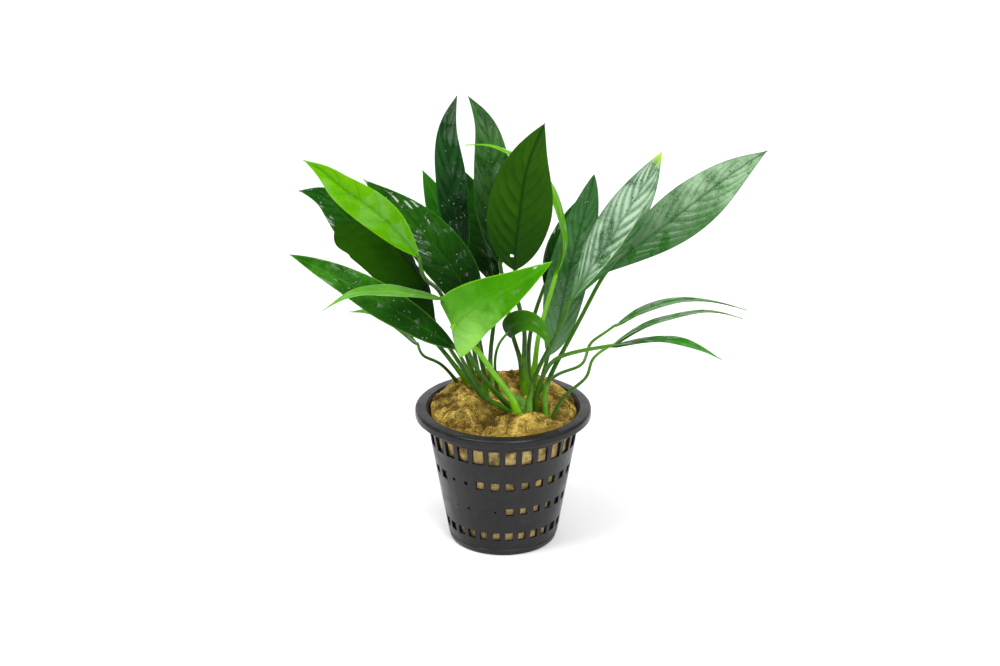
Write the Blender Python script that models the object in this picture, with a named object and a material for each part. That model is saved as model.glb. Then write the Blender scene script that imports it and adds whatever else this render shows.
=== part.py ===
"""Potted anubias: a rosette of long-stalked leaves rooted in a plug of rock wool, in a slotted plastic basket.

Metres, +Z up. The origin is on the basket's axis, at the level of its flat base.
"""

import bmesh
import bpy
import numpy as np

MM = 0.001

# Basket
POT_HEIGHT = 44 * MM
RIM_RADIUS = 27.5 * MM
RIM_WIDTH = 3.4 * MM
LIP_HEIGHT = 2.6 * MM
LIP_THICKNESS = 1.2 * MM
WALL_RADIUS_AT_BASE = 16.9 * MM
WALL_THICKNESS = 0.9 * MM
FLOOR_THICKNESS = 1.2 * MM
FOOT_ROUNDING = 0.8 * MM
SLOTS_AROUND = 28
FIRST_SLOT_DEGREES = -7.0
# Each row of side slots: height of its sill above the base, slot height, slot width.
SLOT_ROWS = [
    (5.6 * MM, 3.0 * MM, 2.6 * MM),
    (15.1 * MM, 2.6 * MM, 2.4 * MM),
    (24.2 * MM, 2.9 * MM, 2.8 * MM),
    (33.3 * MM, 5.3 * MM, 3.7 * MM),
]
# Windows that stayed shut in moulding, as (row, slot) counted from the lowest row and the first slot.
SHUT_SLOTS = {(1, slot) for slot in range(22, 28)} | {(1, 0), (2, 25), (2, 26)}
FLOOR_SLOT_INNER_RADIUS = 6.5 * MM
FLOOR_SLOT_OUTER_RADIUS = 12.5 * MM
FLOOR_SLOT_WIDTH_DEGREES = 6.5

# Rock wool
GAP = 0.3 * MM
FOOT_CLEARANCE = 0.9 * MM
BLADE_CLEARANCE = 0.9 * MM
WOOL_CROWN = 3.8 * MM
WOOL_BACK_RIDGE = 2.6 * MM
WOOL_HOLLOW = 2.2 * MM
WOOL_EDGE_DROP = 0.4 * MM
WOOL_SECTORS = 48

# Plant
PLANT_HEIGHT = 97.5 * MM
DRAWN_HEIGHT = 97.5 * MM
BLADE_THICKNESS = 0.5 * MM
RHIZOME_RADIUS = 1.7 * MM
RHIZOME_SWELLING = 1.06
RHIZOME_SINK = 1.1 * MM
TROUGH_CLEARANCE = 0.7 * MM
BLADE_STEPS_LONG = 11
BLADE_STEPS_WIDE = 4
STALK_SIDES = 6
STALK_STEPS = 12
LEAF_SCALE = PLANT_HEIGHT / DRAWN_HEIGHT
DRAWN_WOOL_RADIUS = 22.9

# Every leaf, drawn in millimetres with heights above the basket's rim:
# (stalk radius, foot x and y, stalk points after the foot,
#  midrib points from the blade's base to its tip, blade width,
#  the way the blade faces at its base and at its tip,
#  how far each half folds up in degrees, how blunt the base and the tip are, colour)
LEAVES = [
    # 1: young lime leaf, upper left
    (0.80, (-8.5, 9), [(-12, 7, 16), (-16, 4, 28), (-20, -3.5, 40), (-24, -13, 48)],
     [(-25, -14, 54), (-29.5, -15, 60), (-34.5, -16.5, 66.5), (-40.5, -18.5, 72.5), (-47, -20.5, 78),
      (-52, -21.5, 83), (-58, -22, 87)],
     11, (0, -1, 0.05), (0, -1, 0.1), 12, (0.95, 1.1), "lime"),
    # 2: dark leaf behind it
    (0.80, (-10.5, 10), [(-17.5, 11, 12), (-24.5, 13, 20), (-32.5, 15, 29.5)],
     [(-37.5, 17, 38), (-43, 19, 47.5), (-49.5, 21, 55.5), (-56, 22, 61), (-63.5, 21, 63.5)],
     13, (0, -0.85, 0.5), (-0.1, -0.8, 0.5), 10, (0.7, 1.1), "dark"),
    # 3: large dark leaf, middle left
    (0.80, (-5, -1), [(-6, -1, 11.5), (-8, -3, 21.5)],
     [(-9, -5, 30), (-13, -7, 44), (-18, -7, 52), (-24, -6, 59), (-32, -3, 66), (-42, 0, 74)],
     15, (0.1, -0.9, 0.3), (0.1, -0.9, 0.4), 10, (0.85, 1.1), "dark"),
    # 4: broad leaf folded along its midrib and tipped over, its back turned
    (0.80, (-2, -8), [(-6.5, -7, 8), (-11, -7, 13.5), (-16, -6, 21)],
     [(-21, -4, 29), (-24, -5, 41), (-26, -6, 45.5), (-31, -6, 52.5), (-36.5, -5, 58), (-42.5, -3, 61),
      (-47, -1, 61), (-51, 2, 59.5)],
     23, (-0.4, 0.55, -0.7), (-0.4, 0.55, -0.7), 38, (0.5, 0.45), "dark"),
    # 5: long dark leaf, lower left
    (0.75, (3, -12), [(-2, -13, 6.2), (-6.5, -14, 9), (-9, -16, 14.5), (-11.5, -18, 21)],
     [(-14, -20, 27), (-20.5, -22, 32.5), (-29, -25, 39.5), (-38, -28, 46.5), (-47.5, -31, 53.5),
      (-61.5, -36, 63)],
     11, (0, -0.75, 0.6), (0, -0.6, 0.8), 8, (0.8, 0.9), "dark"),
    # 6: arched leaf in front of it
    (0.80, (4, -8), [(-1, -11, 7.5), (-7, -15, 17), (-10.5, -17.5, 25), (-14, -20, 35)],
     [(-18.5, -21.5, 44), (-24, -31, 48.5), (-30.5, -40, 53), (-37.5, -45, 55), (-43.5, -49, 55.5),
      (-51.5, -51, 51.5)],
     9.5, (0, -0.3, 1), (0, -0.25, 1), 6, (0.45, 1.2), "green"),
    # 7: slim leaf under them
    (0.60, (-14, 13.5), [(-20, 10, 10), (-24.5, 6, 14), (-26, 4, 17)],
     [(-26.5, 3, 19.5), (-32, 0, 25.5), (-39, -4, 32), (-46.5, -8, 34.5)],
     8.5, (0.1, -0.2, 1), (0, -0.15, 1), 8, (0.8, 1.3), "green"),
    # 8: tip rising behind leaf 3
    (0.70, (-7.5, 13), [(-9.5, 18, 13), (-11.5, 23, 26.5)],
     [(-13.5, 28, 37.5), (-18, 32, 47), (-21.5, 35, 56), (-25.5, 37, 65)],
     9, (0.2, -0.9, 0.3), (0, -0.9, 0.3), 10, (0.75, 1.0), "green"),
    # 9: tall narrow dark leaf
    (0.80, (-5.5, 5), [(-6.5, 6, 13), (-8, 7, 22.5), (-10, 8, 35.5)],
     [(-11.5, 9, 47.5), (-14, 11, 54), (-15.5, 13, 62), (-16.5, 14, 72.5), (-17, 14, 85), (-14, 12, 96.5)],
     10, (0.3, -0.85, 0.3), (0.0, -0.9, 0.3), 12, (0.6, 0.95), "dark"),
    # 10: tallest leaf
    (0.80, (6.5, 8), [(5.5, 9, 11), (3, 10, 19.5), (1, 10, 31.5)],
     [(-1, 10, 43.5), (-2, 12, 53), (-3, 13, 63), (-3.5, 13, 74.5), (-5.5, 11, 87.5), (-10.5, 8, 97.5)],
     12, (0.1, -0.8, 0.3), (-0.1, -0.9, 0.3), 10, (0.7, 1.0), "dark"),
    # 11: leaf at the back, between the two tall ones
    (0.80, (-3, 9), [(-4, 13, 8), (-3.5, 17, 16), (-2.5, 20, 25)],
     [(-3, 22, 33), (-6, 26, 45.5), (-10, 30, 57.5), (-16, 33, 69)],
     12.5, (0, -0.9, 0.4), (0, -0.9, 0.4), 10, (0.7, 1.0), "dark"),
    # 12: broad leaf in the middle, back turned
    (0.85, (7.5, 4), [(6.5, 4, 14.5), (6.5, 3, 24), (4.5, 0, 35)],
     [(3.5, -4, 46.5), (4, -8, 57.5), (5, -11, 68), (6, -13, 77), (8, -14.5, 86), (12, -15, 96)],
     19.5, (0, 0.9, 0.3), (0.05, 0.9, 0.3), 8, (0.68, 1.0), "dark"),
    # 13: young leaf arching over behind it
    (0.90, (9, 7), [(10, 4.5, 13), (11, 2.5, 22.5), (13.5, 1.5, 33)],
     [(16, 1, 42.5), (18.5, 0, 51.5), (17, -1, 63), (12, -1, 74), (2.5, -1, 82), (-5, -1, 85),
      (-11.5, -2, 85.5)],
     8, (0.9, -0.3, 0.3), (0.1, 0.05, 1), 6, (0.9, 1.3), "lime"),
    # 14: lime leaf at the front, its halves drooping
    (1.00, (5, -14), [(2, -18, 11), (-3, -23, 20.5), (-8, -26.5, 29.5), (-12, -27.5, 33.5)],
     [(-15, -30.5, 38.5), (-8, -35, 46), (-1, -38, 51.5), (7, -40, 57.5), (14, -39, 62)],
     18, (0.1, -0.85, 0.5), (0.1, -0.8, 0.6), -10, (0.1, 0.9), "lime"),
    # 15: small leaf beside it
    (0.55, (-1.5, 2), [(-2.5, -4, 17), (-1, -7, 24)],
     [(1, -9, 27.5), (2.5, -11, 31), (6.5, -13, 33), (11, -16, 32), (14, -19, 27)],
     8.5, (0, -0.6, 0.8), (0.3, -0.6, 0.6), 6, (0.5, 1.2), "green"),
    # 16: dark leaf at the back right
    (0.80, (8.5, 12), [(8, 13, 12.5), (9.5, 15, 23)],
     [(13, 17, 33.5), (15.5, 19, 39), (18, 22, 44.5), (21, 25, 50), (23.5, 27, 55), (26, 29, 60)],
     9, (0, -0.9, 0.3), (0, -0.9, 0.4), 10, (0.75, 0.9), "dark"),
    # 17: short-stalked leaf low on the right
    (0.80, (10.5, 2), [(12.5, 3, 9.5)],
     [(14, 3.5, 15.5), (16.5, 6, 22), (18.5, 8.5, 32), (21, 11, 43), (24, 14, 54), (26.5, 16, 63),
      (28, 17, 70)],
     13, (0, -0.9, 0.3), (0, -0.9, 0.4), 6, (0.65, 0.8), "dark"),
    # 18: long glossy leaf, right
    (0.80, (8, -15), [(8, -14.5, 9), (11, -13, 18.5), (16.5, -12, 29.5)],
     [(20, -11, 38.5), (26.5, -10, 49.5), (34.5, -9, 62.5), (40.5, -8, 72.5), (47, -7, 85)],
     13, (-0.1, -0.8, 0.5), (0, -0.8, 0.5), 12, (1.1, 1.05), "dark"),
    # 19: largest leaf, far right
    (0.80, (13, -11.5), [(13, -10.5, 9.5), (18, -9, 21.5), (24.5, -6, 33.5), (29, -4, 42)],
     [(31, -3, 45), (41, 0, 53), (50.5, 2, 60), (60, 4, 67), (70, 6, 74.5), (80, 8, 80.5)],
     16, (0, -1, 0.0), (0, -1, 0.05), 12, (1.15, 1.15), "dark"),
    # 20: topmost of the three slim arching leaves, lower right
    (0.60, (8, -3.5), [(14.5, -1, 9), (20, 3, 10.5), (25, 6, 12), (27, 9, 16.5), (30.5, 10, 19.5)],
     [(35, 11, 22.5), (44, 17, 25), (54.5, 24, 25.5), (66, 30, 23.5), (79, 36, 18)],
     7.5, (0, 0.12, 1), (0, 0.2, 1), 6, (1.1, 1.7), "green"),
    # 21: the middle one
    (0.60, (15, -12), [(19.5, -11, 8.5), (25.5, -10, 14), (27, -9, 18.5), (30, -8, 21.5)],
     [(33, -7, 23), (43, -5, 28.5), (53, -3, 31), (63.5, 0, 31.5), (74, 3, 28)],
     7, (0, 0.22, 1), (0, 0.22, 1), 6, (1.0, 1.5), "green"),
    # 22: the lowest one
    (0.75, (10, -11), [(10, -13, 8.5), (12.5, -16, 17.5), (16, -19, 23.5), (24.5, -23, 28)],
     [(32, -27, 31), (40, -31, 34), (48, -35, 36), (55.5, -40, 36), (63, -46, 34.5)],
     8.5, (0, 0.1, 1), (0, 0.1, 1), 4, (0.9, 1.4), "green"),
]

# The creeping stem that the leaves grow from, as x and y in millimetres
RHIZOME = [(-11, 9), (-6, 7), (-2, 2.5), (4, 2), (7, -3), (6.5, -9), (7, -14)]

COLOURS = {
    "basket": ((0.028, 0.028, 0.030, 1), 0.45),
    "wool": ((0.40, 0.24, 0.07, 1), 0.95),
    "dark": ((0.012, 0.085, 0.014, 1), 0.3),
    "green": ((0.06, 0.22, 0.03, 1), 0.35),
    "lime": ((0.17, 0.50, 0.01, 1), 0.35),
    "stalk": ((0.04, 0.16, 0.015, 1), 0.4),
    "rhizome": ((0.07, 0.18, 0.02, 1), 0.5),
}


def clear_scene():
    for old in list(bpy.data.objects):
        bpy.data.objects.remove(old, do_unlink=True)


def material(name):
    """A plain Principled material, made once for each colour name."""
    found = bpy.data.materials.get(name)
    if found:
        return found
    colour, roughness = COLOURS[name]
    made = bpy.data.materials.new(name)
    made.use_nodes = True
    shader = made.node_tree.nodes["Principled BSDF"]
    shader.inputs["Base Color"].default_value = colour
    shader.inputs["Roughness"].default_value = roughness
    shader.inputs["Metallic"].default_value = 0.0
    return made


def add_object(name, bm, colour, smooth_degrees=40, wound=False):
    """Links the object; a mesh whose faces are already wound outwards is left as it is."""
    if not wound:
        bmesh.ops.recalc_face_normals(bm, faces=bm.faces[:])
    mesh = bpy.data.meshes.new(name)
    bm.to_mesh(mesh)
    bm.free()
    mesh.shade_smooth()
    mesh.set_sharp_from_angle(angle=np.radians(smooth_degrees))
    mesh.materials.append(material(colour))
    made = bpy.data.objects.new(name, mesh)
    bpy.context.scene.collection.objects.link(made)
    return made


def unit(vectors):
    return vectors / np.linalg.norm(vectors, axis=-1, keepdims=True)


def smooth_curve(points, count):
    """Equally spaced points on the natural cubic spline through the given points."""
    points = np.asarray(points, float)
    steps = np.sqrt(np.linalg.norm(np.diff(points, axis=0), axis=1))
    knots = np.concatenate([[0], np.cumsum(steps)])
    size = len(points)
    system = np.eye(size)
    right = np.zeros((size, 3))
    for i in range(1, size - 1):
        system[i, i - 1:i + 2] = steps[i - 1], 2 * (steps[i - 1] + steps[i]), steps[i]
        right[i] = 6 * ((points[i + 1] - points[i]) / steps[i] - (points[i] - points[i - 1]) / steps[i - 1])
    bends = np.linalg.solve(system, right)
    at = np.linspace(0, knots[-1], 400)
    k = np.clip(np.searchsorted(knots, at, side="right") - 1, 0, size - 2)
    step = steps[k][:, None]
    a = (knots[k + 1] - at)[:, None] / step
    b = 1 - a
    fine = a * points[k] + b * points[k + 1]
    fine += ((a**3 - a) * bends[k] + (b**3 - b) * bends[k + 1]) * step**2 / 6
    along = np.concatenate([[0], np.cumsum(np.linalg.norm(np.diff(fine, axis=0), axis=1))])
    wanted = np.linspace(0, along[-1], count)
    return np.stack([np.interp(wanted, along, fine[:, axis]) for axis in range(3)], axis=1)


def bridge(bm, ring_a, ring_b):
    count = len(ring_a)
    for i in range(count):
        j = (i + 1) % count
        bm.faces.new((ring_a[i], ring_a[j], ring_b[j], ring_b[i]))


def add_tube(name, path, radii, sides, colour):
    """A closed tube whose rings keep one reference direction, so that it doesn't twist."""
    tangents = unit(np.gradient(path, axis=0))
    side = unit(np.cross(tangents, [0.13, 0.95, 0.28]))
    up = np.cross(side, tangents)
    bm = bmesh.new()
    rings = []
    for centre, a, b, radius in zip(path, side, up, radii):
        turns = 2 * np.pi * np.arange(sides) / sides
        ring = centre + radius * (np.cos(turns)[:, None] * a + np.sin(turns)[:, None] * b)
        rings.append([bm.verts.new(point) for point in ring])
    for before, after in zip(rings, rings[1:]):
        bridge(bm, before, after)
    bm.faces.new(rings[0])
    bm.faces.new(rings[-1][::-1])
    return add_object(name, bm, colour, 60)


# ---------------------------------------------------------------- basket

RIM_INNER_RADIUS = RIM_RADIUS - RIM_WIDTH
WALL_TOP = POT_HEIGHT - LIP_HEIGHT
WALL_SLOPE = (RIM_INNER_RADIUS - WALL_RADIUS_AT_BASE) / WALL_TOP


def wall_radius(z):
    """Radius of the basket's outer wall at a height."""
    return WALL_RADIUS_AT_BASE + WALL_SLOPE * z


def basket_rings():
    """(outer, inner) lists of (radius, height, slot half angle, row) from the floor's middle to the rim's top."""
    floor_half = np.radians(FLOOR_SLOT_WIDTH_DEGREES) / 2
    outer = [(FLOOR_SLOT_INNER_RADIUS, 0, floor_half, "floor"), (FLOOR_SLOT_OUTER_RADIUS, 0, floor_half, None)]
    foot_half = SLOT_ROWS[0][2] / 2 / wall_radius(0)
    outer.append((WALL_RADIUS_AT_BASE - FOOT_ROUNDING, 0, foot_half, None))
    outer.append((WALL_RADIUS_AT_BASE - 0.3 * FOOT_ROUNDING, 0.3 * FOOT_ROUNDING, foot_half, None))
    outer.append((wall_radius(FOOT_ROUNDING), FOOT_ROUNDING, foot_half, None))
    inner = [(FLOOR_SLOT_INNER_RADIUS, FLOOR_THICKNESS, floor_half, "floor")]
    inner.append((FLOOR_SLOT_OUTER_RADIUS, FLOOR_THICKNESS, floor_half, None))
    inner.append((wall_radius(FLOOR_THICKNESS) - WALL_THICKNESS, FLOOR_THICKNESS, foot_half, None))
    inner.append((wall_radius(FLOOR_THICKNESS * 1.5) - WALL_THICKNESS, FLOOR_THICKNESS * 1.5, foot_half, None))
    inner.append((wall_radius(FLOOR_THICKNESS * 2) - WALL_THICKNESS, FLOOR_THICKNESS * 2, foot_half, None))
    for row, (sill, height, width) in enumerate(SLOT_ROWS):
        for z, tag in ((sill, row), (sill + height, None)):
            half = width / 2 / wall_radius(z)
            outer.append((wall_radius(z), z, half, tag))
            inner.append((wall_radius(z) - WALL_THICKNESS, z, half, tag))
    top_half = SLOT_ROWS[-1][2] / 2 / RIM_INNER_RADIUS
    lip_inner = RIM_RADIUS - LIP_THICKNESS
    under = POT_HEIGHT - LIP_THICKNESS
    outer.append((wall_radius(WALL_TOP), WALL_TOP, top_half, None))
    outer.append((RIM_INNER_RADIUS + 0.8 * MM, under, top_half, None))
    outer.append((lip_inner, under, top_half, None))
    outer.append((lip_inner + 0.2 * MM, WALL_TOP, top_half, None))
    outer.append((RIM_RADIUS, WALL_TOP, top_half, None))
    outer.append((RIM_RADIUS, POT_HEIGHT - 0.5 * MM, top_half, None))
    outer.append((RIM_RADIUS - 0.5 * MM, POT_HEIGHT, top_half, None))
    inner.append((wall_radius(WALL_TOP) - WALL_THICKNESS, WALL_TOP, top_half, None))
    inner.append((RIM_INNER_RADIUS - 0.4 * MM, POT_HEIGHT - 0.5 * MM, top_half, None))
    inner.append((RIM_INNER_RADIUS, POT_HEIGHT, top_half, None))
    return outer, inner


def slot_is_open(tag, slot):
    if tag is None:
        return False
    if tag == "floor":
        return slot % 2 == 0
    return (tag, slot) not in SHUT_SLOTS


def add_basket():
    """Two nested grids of rings, joined at the rim and round every slot."""
    outer, inner = basket_rings()
    centres = np.radians(FIRST_SLOT_DEGREES) + 2 * np.pi * np.arange(SLOTS_AROUND) / SLOTS_AROUND
    bm = bmesh.new()

    def ring(radius, height, half):
        turns = np.stack([centres - half, centres + half], axis=1).ravel()
        return [bm.verts.new((radius * np.sin(a), -radius * np.cos(a), height)) for a in turns]

    outer_rings = [ring(*row[:3]) for row in outer]
    inner_rings = [ring(*row[:3]) for row in inner]
    count = 2 * SLOTS_AROUND
    for rows, rings in ((outer, outer_rings), (inner, inner_rings)):
        for k in range(len(rings) - 1):
            for i in range(count):
                j = (i + 1) % count
                if i % 2 == 0 and slot_is_open(rows[k][3], i // 2):
                    continue
                bm.faces.new((rings[k][i], rings[k][j], rings[k + 1][j], rings[k + 1][i]))
    for tag in ["floor"] + list(range(len(SLOT_ROWS))):
        a = [row[3] for row in outer].index(tag)
        b = [row[3] for row in inner].index(tag)
        for slot in range(SLOTS_AROUND):
            if not slot_is_open(tag, slot):
                continue
            i, j = 2 * slot, 2 * slot + 1
            around_out = [outer_rings[a][i], outer_rings[a][j], outer_rings[a + 1][j], outer_rings[a + 1][i]]
            around_in = [inner_rings[b][i], inner_rings[b][j], inner_rings[b + 1][j], inner_rings[b + 1][i]]
            bridge(bm, around_out, around_in)
    bridge(bm, outer_rings[-1], inner_rings[-1])
    bm.faces.new(outer_rings[0])
    bm.faces.new(inner_rings[0])
    return add_object("basket_pot", bm, "basket")


# ---------------------------------------------------------------- rock wool

WOOL_RADIUS = wall_radius(WALL_TOP) - WALL_THICKNESS - GAP
FOOT_SCALE = WOOL_RADIUS / MM / DRAWN_WOOL_RADIUS


def wool_top(x, y):
    """Height of the wool at a place: a flat dome with a ridge behind, a hollow round the crown and soft lumps."""
    u = np.asarray(x, float) / WOOL_RADIUS
    v = np.asarray(y, float) / WOOL_RADIUS
    dome = WOOL_CROWN * (1 - np.clip(u * u + v * v, 0, 1) ** 2)
    ridge = WOOL_BACK_RIDGE * np.exp(-((u + 0.1) / 0.7) ** 2 - ((v - 0.74) / 0.28) ** 2)
    hollow = WOOL_HOLLOW * np.exp(-((u - 0.1) / 0.36) ** 2 - ((v + 0.1) / 0.26) ** 2)
    fade = 1 - np.clip(u * u + v * v, 0, 1)
    lumps = 0.35 * MM * np.sin(9 * u + 2) * np.sin(8 * v + 1) * fade
    return POT_HEIGHT - WOOL_EDGE_DROP + dome + ridge - hollow + lumps


def add_wool():
    """A plug that fills the basket, closed by the uneven top."""
    bottom = FLOOR_THICKNESS * 2 + GAP
    turns = 2 * np.pi * np.arange(WOOL_SECTORS) / WOOL_SECTORS
    bm = bmesh.new()

    def flat_ring(radius, height):
        return [bm.verts.new((radius * np.cos(a), radius * np.sin(a), height)) for a in turns]

    def draped_ring(radius):
        across, away = radius * np.cos(turns), radius * np.sin(turns)
        return [bm.verts.new(point) for point in zip(across, away, wool_top(across, away))]

    rings = [flat_ring(wall_radius(bottom) - WALL_THICKNESS - GAP, bottom), flat_ring(WOOL_RADIUS, WALL_TOP)]
    rings += [draped_ring(share * WOOL_RADIUS) for share in (1.0, 0.9, 0.77, 0.62, 0.47, 0.32, 0.16)]
    for before, after in zip(rings, rings[1:]):
        bridge(bm, before, after)
    bm.faces.new(rings[0])
    middle = bm.verts.new((0, 0, float(wool_top(0, 0))))
    for a, b in zip(rings[-1], rings[-1][1:] + rings[-1][:1]):
        bm.faces.new((a, b, middle))
    return add_object("rock_wool", bm, "wool", 80)


# ---------------------------------------------------------------- rhizome


def rhizome_path(count):
    flat = np.array(RHIZOME) * FOOT_SCALE * MM
    height = wool_top(flat[:, 0], flat[:, 1]) - RHIZOME_SINK
    return smooth_curve(np.column_stack([flat, height]), count)


def rhizome_radii(count):
    """Swollen at each old leaf scar and rounded off at both ends."""
    t = np.linspace(0, 1, count)
    ends = np.clip(np.minimum(t, 1 - t) / 0.08, 0, 1)
    return RHIZOME_RADIUS * (1 + (RHIZOME_SWELLING - 1) * np.cos(40 * t)) * (0.55 + 0.45 * np.sqrt(ends))


def add_rhizome():
    return add_tube("rhizome", rhizome_path(21), rhizome_radii(21), 8, "rhizome")


def bed_rhizome(wool):
    """Presses the rhizome's trough into the wool, a little longer and wider than the rhizome."""
    path = rhizome_path(21)
    path[0] += unit(path[0] - path[1]) * TROUGH_CLEARANCE
    path[-1] += unit(path[-1] - path[-2]) * TROUGH_CLEARANCE
    radii = np.full(len(path), RHIZOME_RADIUS * RHIZOME_SWELLING + TROUGH_CLEARANCE)
    cutter = add_tube("rhizome_trough", path, radii, 8, "wool")
    cutter.hide_render = True
    cutter.display_type = "WIRE"
    trough = wool.modifiers.new("trough", "BOOLEAN")
    trough.operation = "DIFFERENCE"
    trough.solver = "EXACT"
    trough.object = cutter


def foot_height(x, y, radius):
    """Where a stalk starts: just clear of the wool, or of the rhizome where that is higher."""
    around = 2 * np.pi * np.arange(12) / 12
    ground = max(wool_top(x + radius * np.cos(around), y + radius * np.sin(around)))
    path = rhizome_path(60)
    away = np.linalg.norm(path[:, :2] - [x, y], axis=1)
    reach = RHIZOME_RADIUS * RHIZOME_SWELLING + radius + GAP
    near = away < reach
    crown = max(path[near, 2] + RHIZOME_RADIUS * RHIZOME_SWELLING) if near.any() else 0
    return max(ground, crown) + FOOT_CLEARANCE


# ---------------------------------------------------------------- leaves


def drawn(point):
    """A leaf's drawn point in world metres."""
    x, y, above_rim = point
    return np.array([x * LEAF_SCALE, y * LEAF_SCALE, above_rim * LEAF_SCALE]) * MM + [0, 0, POT_HEIGHT]


def stalk_path(leaf):
    """From the foot, which follows the wool's size, to just short of the blade's base."""
    radius, (foot_x, foot_y), middle, midrib = leaf[:4]
    x, y = foot_x * FOOT_SCALE * MM, foot_y * FOOT_SCALE * MM
    start = np.array([x, y, foot_height(x, y, radius * MM)])
    shift = start[:2] - np.array([foot_x, foot_y]) * LEAF_SCALE * MM
    points = [start]
    for i, point in enumerate(middle, 1):
        placed = drawn(point)
        placed[:2] += shift * (1 - i / (len(middle) + 1))
        points.append(placed)
    points.append(drawn(midrib[0]))
    path = smooth_curve(points, 200)
    along = np.concatenate([[0], np.cumsum(np.linalg.norm(np.diff(path, axis=0), axis=1))])
    wanted = np.linspace(0, along[-1] - BLADE_CLEARANCE, STALK_STEPS)
    return np.stack([np.interp(wanted, along, path[:, axis]) for axis in range(3)], axis=1)


def add_stalk(name, leaf):
    """Thick and sheathed at the foot, slimmer towards the blade."""
    t = np.linspace(0, 1, STALK_STEPS)
    radii = leaf[0] * MM * (1.0 - 0.22 * t + 0.15 * np.exp(-((t / 0.15) ** 2)))
    return add_tube(name, stalk_path(leaf), radii, STALK_SIDES, "stalk")


def blade_grid(leaf):
    """Middle surface of the blade: two halves folded up from the midrib, with a lens-shaped outline."""
    radius, _, _, midrib, width, face_base, face_tip, fold, (blunt_base, blunt_tip), _ = leaf
    spine = smooth_curve([drawn(point) for point in midrib], BLADE_STEPS_LONG + 1)
    t = np.linspace(0, 1, BLADE_STEPS_LONG + 1)
    along = unit(np.gradient(spine, axis=0))
    wanted = np.outer(1 - t, unit(np.array(face_base, float))) + np.outer(t, unit(np.array(face_tip, float)))
    face = unit(wanted - np.sum(wanted * along, axis=1, keepdims=True) * along)
    across = np.cross(along, face)
    widest = blunt_base / (blunt_base + blunt_tip)
    peak = widest**blunt_base * (1 - widest) ** blunt_tip
    half = width * LEAF_SCALE * MM / 2 * t**blunt_base * (1 - t) ** blunt_tip / peak
    narrowest = np.interp(t, [0, 1], [0.6 * radius * MM, 0.12 * MM])
    half = np.maximum(half, narrowest)
    v = np.linspace(-1, 1, BLADE_STEPS_WIDE + 1)
    fold = np.radians(fold)
    sideways = across[:, None] * (v * np.cos(fold))[None, :, None]
    upwards = face[:, None] * (np.abs(v) * np.sin(fold))[None, :, None]
    return spine[:, None] + (sideways + upwards) * half[:, None, None]


def add_blade(name, leaf):
    """A thin closed sheet round the middle surface."""
    grid = blade_grid(leaf)
    normals = unit(np.cross(np.gradient(grid, axis=0), np.gradient(grid, axis=1)))
    bm = bmesh.new()
    rows, columns = grid.shape[:2]
    sheets = []
    for side in (1, -1):
        points = (grid + normals * side * BLADE_THICKNESS / 2).reshape(-1, 3)
        sheet = [bm.verts.new(point) for point in points]
        for cell in [(r * columns + c) for r in range(rows - 1) for c in range(columns - 1)]:
            corners = (cell, cell + columns, cell + columns + 1, cell + 1)[::side]
            bm.faces.new([sheet[corner] for corner in corners])
        sheets.append(sheet)
    edge = list(range(columns)) + [(r + 1) * columns - 1 for r in range(1, rows)]
    edge += list(range(rows * columns - 2, (rows - 1) * columns - 1, -1))
    edge += [r * columns for r in range(rows - 2, 0, -1)]
    bridge(bm, [sheets[0][i] for i in edge], [sheets[1][i] for i in edge])
    return add_object(name, bm, leaf[-1], 60, wound=True)


clear_scene()
add_basket()
add_rhizome()
bed_rhizome(add_wool())
for number, leaf in enumerate(LEAVES, 1):
    add_stalk(f"leaf_{number:02d}_stalk", leaf)
    add_blade(f"leaf_{number:02d}_blade", leaf)
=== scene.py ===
from collections import namedtuple

import bpy
import numpy as np
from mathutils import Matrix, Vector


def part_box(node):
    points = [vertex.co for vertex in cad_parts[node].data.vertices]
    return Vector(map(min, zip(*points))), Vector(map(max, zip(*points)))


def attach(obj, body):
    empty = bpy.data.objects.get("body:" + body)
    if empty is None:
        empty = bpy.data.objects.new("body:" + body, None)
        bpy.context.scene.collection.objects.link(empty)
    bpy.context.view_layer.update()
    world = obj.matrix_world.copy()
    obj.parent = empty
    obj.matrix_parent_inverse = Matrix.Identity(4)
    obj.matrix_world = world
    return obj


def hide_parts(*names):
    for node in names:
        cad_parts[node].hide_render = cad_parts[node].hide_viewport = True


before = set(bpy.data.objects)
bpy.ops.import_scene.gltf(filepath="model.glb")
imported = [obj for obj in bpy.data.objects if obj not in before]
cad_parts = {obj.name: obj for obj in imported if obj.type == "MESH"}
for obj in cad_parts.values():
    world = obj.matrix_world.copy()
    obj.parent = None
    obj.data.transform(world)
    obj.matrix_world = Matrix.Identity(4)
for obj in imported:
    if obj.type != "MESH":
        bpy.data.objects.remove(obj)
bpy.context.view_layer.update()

MM = 0.001


# ---------------------------------------------------------------- basket
# The pot is one thin black plastic moulding: a tapered wall with four rows of windows, a floor with radial
# slots and a flanged rim whose edge turns down into a short lip. Flash in the mould left some windows
# nearly shut.

RIM_RADIUS, _, POT_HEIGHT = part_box("basket_pot")[1]
RIM_WIDTH = 3.4 * MM
LIP_HEIGHT = 2.6 * MM
WALL_FOOT_RADIUS = 16.9 * MM
WALL_THICKNESS = 0.9 * MM
FLOOR_THICKNESS = 1.2 * MM
FLOOR_SLOT_START, FLOOR_SLOT_END = 6.5 * MM, 12.5 * MM
# Sectors round the basket: each has one window in every row, and every other one has a slot in the floor.
SECTORS = 28
SECTOR_ANGLE = 2 * np.pi / SECTORS
FIRST_SECTOR = np.radians(-7.0)
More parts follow.
